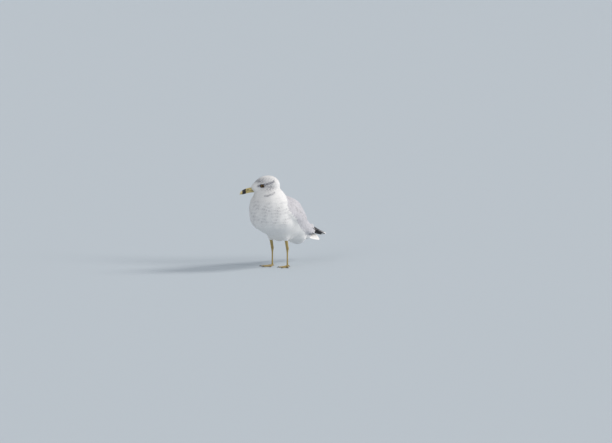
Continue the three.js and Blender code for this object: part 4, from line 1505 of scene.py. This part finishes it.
leg_material = natural_material(
    "leg skin", roughness=0.5, mottle_scale=260, tone=0.16, bump=0.5, bump_depth=0.18,
    bumps_from=scale_cells, Specular_IOR_Level=0.45, Coat_Weight=0.08, Coat_Roughness=0.35)
claw_material = natural_material(
    "claw", roughness=0.35, mottle_scale=600, tone=0.2, bump=0.2, bump_depth=0.08,
    Coat_Weight=0.3, Coat_Roughness=0.2)
print("materials:", leg_material.name, "and", claw_material.name)

# %% Legs
HALF_STANCE, HEEL_BACK, ANKLE_HEIGHT, LEG_TOP = 25.5, 2, 54, 98
LEG_RINGS, LEG_AROUND, LEG_PLATES, PLATE_SPREAD = 150, 28, 30, 1.1
TOP, FRONT = math.pi / 2, math.pi * 1.5  # angles round a tube: the top of a toe, a leg's front


def leg(hand, name):
    x = HALF_STANCE
    spine = [(x, -8, LEG_TOP - 8), (x, -1, ANKLE_HEIGHT + 10), (x, 2, ANKLE_HEIGHT),
             (x, 2, ANKLE_HEIGHT - 10), (x, HEEL_BACK, 4)]
    wide = knots((0, 4.8), (0.28, 4.0), (0.37, 3.9), (0.43, 3.9), (0.5, 2.9), (0.58, 2.1),
                 (0.75, 2.0), (0.92, 2.2), (1, 3.0))
    high = knots((0, 5.2), (0.28, 4.3), (0.37, 4.2), (0.43, 4.4), (0.5, 3.4), (0.58, 2.7),
                 (0.75, 2.5), (0.92, 2.8), (1, 3.3))
    points, quads = on_side(hand, *tube(
        spine, wide, high, rings=LEG_RINGS, around=LEG_AROUND, ends=(0.02, 0.05),
        relief=plates(LEG_PLATES, 0.09, FRONT, PLATE_SPREAD)))
    along = np.repeat(np.linspace(0, 1, LEG_RINGS), LEG_AROUND)
    angle = np.tile(np.linspace(0, 2 * math.pi, LEG_AROUND, endpoint=False), LEG_RINGS)
    groove = smoothstep(0.84, 0.95, (along * LEG_PLATES) % 1.0)
    shade = 1 - 0.3 * on_face(angle, FRONT, PLATE_SPREAD) * groove
    joint = 0.15 * np.exp(-(((along - 0.42) / 0.05) ** 2))
    colour = LEG_YELLOW * (shade - joint)[:, None]
    return build(f"leg_scaled_{name}", onto_body(points), quads, leg_material,
                 [f"leg_{name}"], colours=colour)


for hand, name in SIDES:
    leg(hand, name)

# %% Toes with joints and pads
# Name, length, heading from the foot's own, and how many joints swell.
FRONT_TOES = (("inner", 33, -0.5, 2), ("middle", 41, -0.02, 3), ("outer", 38, 0.42, 4))
HIND_TOE = ("hind", 9, math.pi - 0.35, 1)
TOE_OUT = math.radians(9)  # how far the foot turns out
TOE_PLATE_SPREAD = 0.9
SOLE = 0.05  # height of the soles


def on_foot(turn, ahead, height):
    """A point of the left foot, by its distance ahead of the heel along a heading."""
    heading = TOE_OUT + turn
    return (HALF_STANCE + ahead * math.sin(heading), HEEL_BACK - ahead * math.cos(heading), height)


def toe(length, turn, joints):
    spine = [on_foot(turn, -2, 3.6), on_foot(turn, length * 0.3, 2.2),
             on_foot(turn, length * 0.7, 1.8), on_foot(turn, length, 1.5)]
    knuckles = np.linspace(0.08, 0.8, joints)

    def size(base):
        def at_place(t):
            swell = sum(np.exp(-(((t - k) / 0.05) ** 2)) for k in knuckles)
            return base(t) * (0.9 + 0.16 * swell)
        return at_place

    wide = size(knots((0, 2.7), (0.5, 2.2), (0.9, 1.8), (1, 1.5)))
    high = size(knots((0, 2.7), (0.5, 2.0), (0.9, 1.6), (1, 1.3)))
    count = int(length / 1.7)
    points, quads = tube(spine, wide, high, rings=count * 6, around=18, ends=(0.06, 0.05),
                         relief=plates(count, 0.08, TOP, TOE_PLATE_SPREAD))
    points[:, 2] = np.maximum(points[:, 2], SOLE + 0.12 * np.abs(np.sin(points[:, 1] * 2.1)))
    return points, quads


def hind_toe():
    length, turn = HIND_TOE[1:3]
    spine = [on_foot(0, -1, 6), on_foot(turn, 4.5, 3.6), on_foot(turn, length, 1.5)]
    size = knots((0, 2.1), (1, 1.3))
    points, quads = tube(spine, size, size, rings=30, around=14, ends=(0.12, 0.14),
                         relief=plates(6, 0.08, TOP, TOE_PLATE_SPREAD))
    points[:, 2] = np.maximum(points[:, 2], SOLE)
    return points, quads


print("points of the middle toe:", len(toe(*FRONT_TOES[1][1:])[0]))

# %% Webs and claws
WEB_ROWS, WEB_COLUMNS = 40, 24
WEB_START, WEB_THICKNESS = 1.5, 0.45


def web(first, second):
    """The web between two toes: a thin closed sheet, sagging and finely wrinkled."""
    r = np.linspace(0, 1, WEB_ROWS)[:, None]
    c = np.linspace(0, 1, WEB_COLUMNS)[None]
    reach_first, reach_second = first[1] - 3, second[1] - 3
    reach = mix(reach_first, reach_second, c) * (1 - 0.26 * np.sin(math.pi * c) ** 0.9)
    ahead = WEB_START + (reach - WEB_START) * r
    heading = TOE_OUT + mix(first[2], second[2], c) + 0 * r
    wrinkle = (0.14 * np.sin(math.pi * c) * np.sin(heading * 95 + 1.2 * np.sin(r * 9))
               + 0.1 * np.sin(math.pi * c) * np.sin(ahead * 1.6 + 2 * np.sin(c * 5)))
    level = mix(1.45, 0.95, np.sin(math.pi * c)) + wrinkle * smoothstep(0.1, 0.4, r)
    x = HALF_STANCE + ahead * np.sin(heading)
    y = HEEL_BACK - ahead * np.cos(heading)
    top = np.stack([x, y, level], -1).reshape(-1, 3)
    under = top - (0, 0, WEB_THICKNESS)
    return np.concatenate([top, under]), sheet_faces(WEB_ROWS, WEB_COLUMNS)


def claw(reach, turn, height, length, radius):
    """A claw that curves down from the end of a toe of a given reach and heading."""
    spine = [on_foot(turn, reach - 2.5, height),
             on_foot(turn, reach + length * 0.45, height + 0.45),
             on_foot(turn, reach + length * 0.98, radius * 0.3 + 0.15)]
    size = knots((0, radius * 0.95), (0.5, radius * 0.75), (1, radius * 0.25))
    points, quads = tube(spine, size, size, rings=26, around=14, ends=(0.1, 0.12))
    points[:, 2] = np.maximum(points[:, 2], SOLE)
    return points, quads


print("points of a web:", len(web(*FRONT_TOES[:2])[0]))

# %% Both feet
FRONT_CLAW = (1.9, 6.5, 1.4)  # height, length and radius
HIND_CLAW = (0.9, 3.25, 0.9)


def foot(hand, name):
    toes = [toe(*toe_data[1:]) for toe_data in FRONT_TOES] + [hind_toe()]
    webs = [web(*FRONT_TOES[:2]), web(*FRONT_TOES[1:])]
    points, quads = stacked(toes + webs)
    webs_from = sum(len(toe_points) for toe_points, faces in toes)
    shade = np.ones(len(points))
    shade[webs_from:] = 0.9
    low = smoothstep(0.9, 0.2, points[:, 2])
    grime = 0.86 + 0.14 * np.sin(points[:, 0] * 0.9) * np.sin(points[:, 1] * 0.7)
    colour = LEG_YELLOW * (shade * grime * (1 - 0.25 * low))[:, None]
    points, quads = on_side(hand, points, quads)
    build(f"foot_webbed_{name}", onto_body(points), quads, leg_material,
          [f"foot_{name}"], colours=colour)


def claws(hand, side_name):
    for name, reach, turn, joints in (*FRONT_TOES, HIND_TOE):
        size = HIND_CLAW if name == "hind" else FRONT_CLAW
        points, quads = on_side(hand, *claw(reach, turn, *size))
        shade = np.tile(linear(44, 36, 32), (len(points), 1))
        build(f"nail_{side_name}_{name}", onto_body(points), quads, claw_material,
              [f"claw_{side_name}_{name}"], colours=shade)


for hand, name in SIDES:
    foot(hand, name)
    claws(hand, name)

# %% [markdown]
# ## Floor, light and camera
#
# A flat floor would end in a hard horizon. This one is plain and pale and sweeps up all round the
# bird, which leaves a soft edge instead. All lamps are slightly warm, wide and far away, so the
# floor is lit evenly. The main one comes over the bird's left shoulder, and two weaker ones keep its
# flank and its shaded breast readable. The camera looks from far off with a long lens, almost level.

# %% A round floor that sweeps up into a backdrop
FLOOR_RADIUS, SWEEP_RADIUS = 15.4, 3.1  # metres
STEPS_ROUND, STEPS_UP = 96, 20
picture_right = Vector((0.866, 0.5, 0)).normalized()
picture_away = Vector((-0.5, 0.866, 0)).normalized()


def backdrop():
    profile = [(0.5, 0.0), (FLOOR_RADIUS - 1, 0.0)]
    profile += [(FLOOR_RADIUS + SWEEP_RADIUS * math.sin(a), SWEEP_RADIUS * (1 - math.cos(a)))
                for a in np.linspace(0, math.pi / 2, STEPS_UP)]
    around = np.linspace(0, 2 * math.pi, STEPS_ROUND, endpoint=False)
    vertices = [(home.x + reach * math.cos(turn), home.y + reach * math.sin(turn), height)
                for reach, height in profile for turn in around]
    faces = [tuple(range(STEPS_ROUND))]
    for ring in range(len(profile) - 1):
        for step in range(STEPS_ROUND):
            a, b = ring * STEPS_ROUND + step, ring * STEPS_ROUND + (step + 1) % STEPS_ROUND
            faces.append((a, a + STEPS_ROUND, b + STEPS_ROUND, b))
    mesh = bpy.data.meshes.new("backdrop")
    mesh.from_pydata(vertices, [], faces)
    mesh.polygons.foreach_set("use_smooth", [True] * len(faces))
    return new_object("backdrop", mesh)


floor = backdrop()
floor_material = bpy.data.materials.new("pale floor")
floor_material.use_nodes = True
floor_shader = floor_material.node_tree.nodes["Principled BSDF"]
floor_shader.inputs["Base Color"].default_value = (*linear(186, 195, 202), 1)
floor_shader.inputs["Roughness"].default_value = 0.9
floor.data.materials.append(floor_material)
print("floor:", len(floor.data.polygons), "faces")

# %% Lamps and sky
world = bpy.data.worlds.new("soft sky")
world.use_nodes = True
sky = world.node_tree.nodes["Background"]
sky.inputs["Color"].default_value = (0.9, 0.94, 1.0, 1)
sky.inputs["Strength"].default_value = 0.53
bpy.context.scene.world = world


def far_lamp(name, toward, strength, width, colour):
    """A lamp so far off that it lights bird and floor alike, seen as a disc width degrees wide."""
    light = bpy.data.lights.new(name, "SUN")
    light.energy, light.angle, light.color = strength, math.radians(width), colour
    lamp = new_object(name, light)
    lamp.location = home + toward
    lamp.rotation_euler = (-toward).to_track_quat("-Z", "Y").to_euler()
    return lamp


WARM = (1.0, 0.955, 0.91)
far_lamp("key lamp", picture_right * 4.8 + picture_away * 1.2 + UP * 3.4, 1.81, 19, WARM)
far_lamp("side lamp", picture_right * 3.4 - picture_away * 1.5 + UP * 1.6, 0.95, 22, WARM)
far_lamp("fill lamp", -picture_right * 1.6 - picture_away * 3.0 + UP * 1.4, 0.4, 24, WARM)
print("lamps:", [light.name for light in bpy.data.lights])

# %% Camera
VIEW_WIDTH = 1.795  # metres across the picture at the bird
LENS, SENSOR = 300.0, 36.0
TARGET_RIGHT, TARGET_UP = 0.0776, 0.1318  # metres from between the heels
elevation = math.radians(6)
distance = VIEW_WIDTH * LENS / SENSOR
picture_up = UP * math.cos(elevation) + picture_away * math.sin(elevation)
toward_camera = UP * math.sin(elevation) - picture_away * math.cos(elevation)
target = home + picture_right * TARGET_RIGHT + picture_up * TARGET_UP
camera_data = bpy.data.cameras.new("camera")
camera_data.lens, camera_data.sensor_width, camera_data.clip_end = LENS, SENSOR, 100
camera = new_object("camera", camera_data)
camera.location = target + toward_camera * distance
camera.rotation_euler = (target - camera.location).to_track_quat("-Z", "Y").to_euler()
bpy.context.scene.camera = camera
bpy.context.scene.view_settings.view_transform = "Standard"
print("camera is", round((camera.location - target).length, 2), "m away")
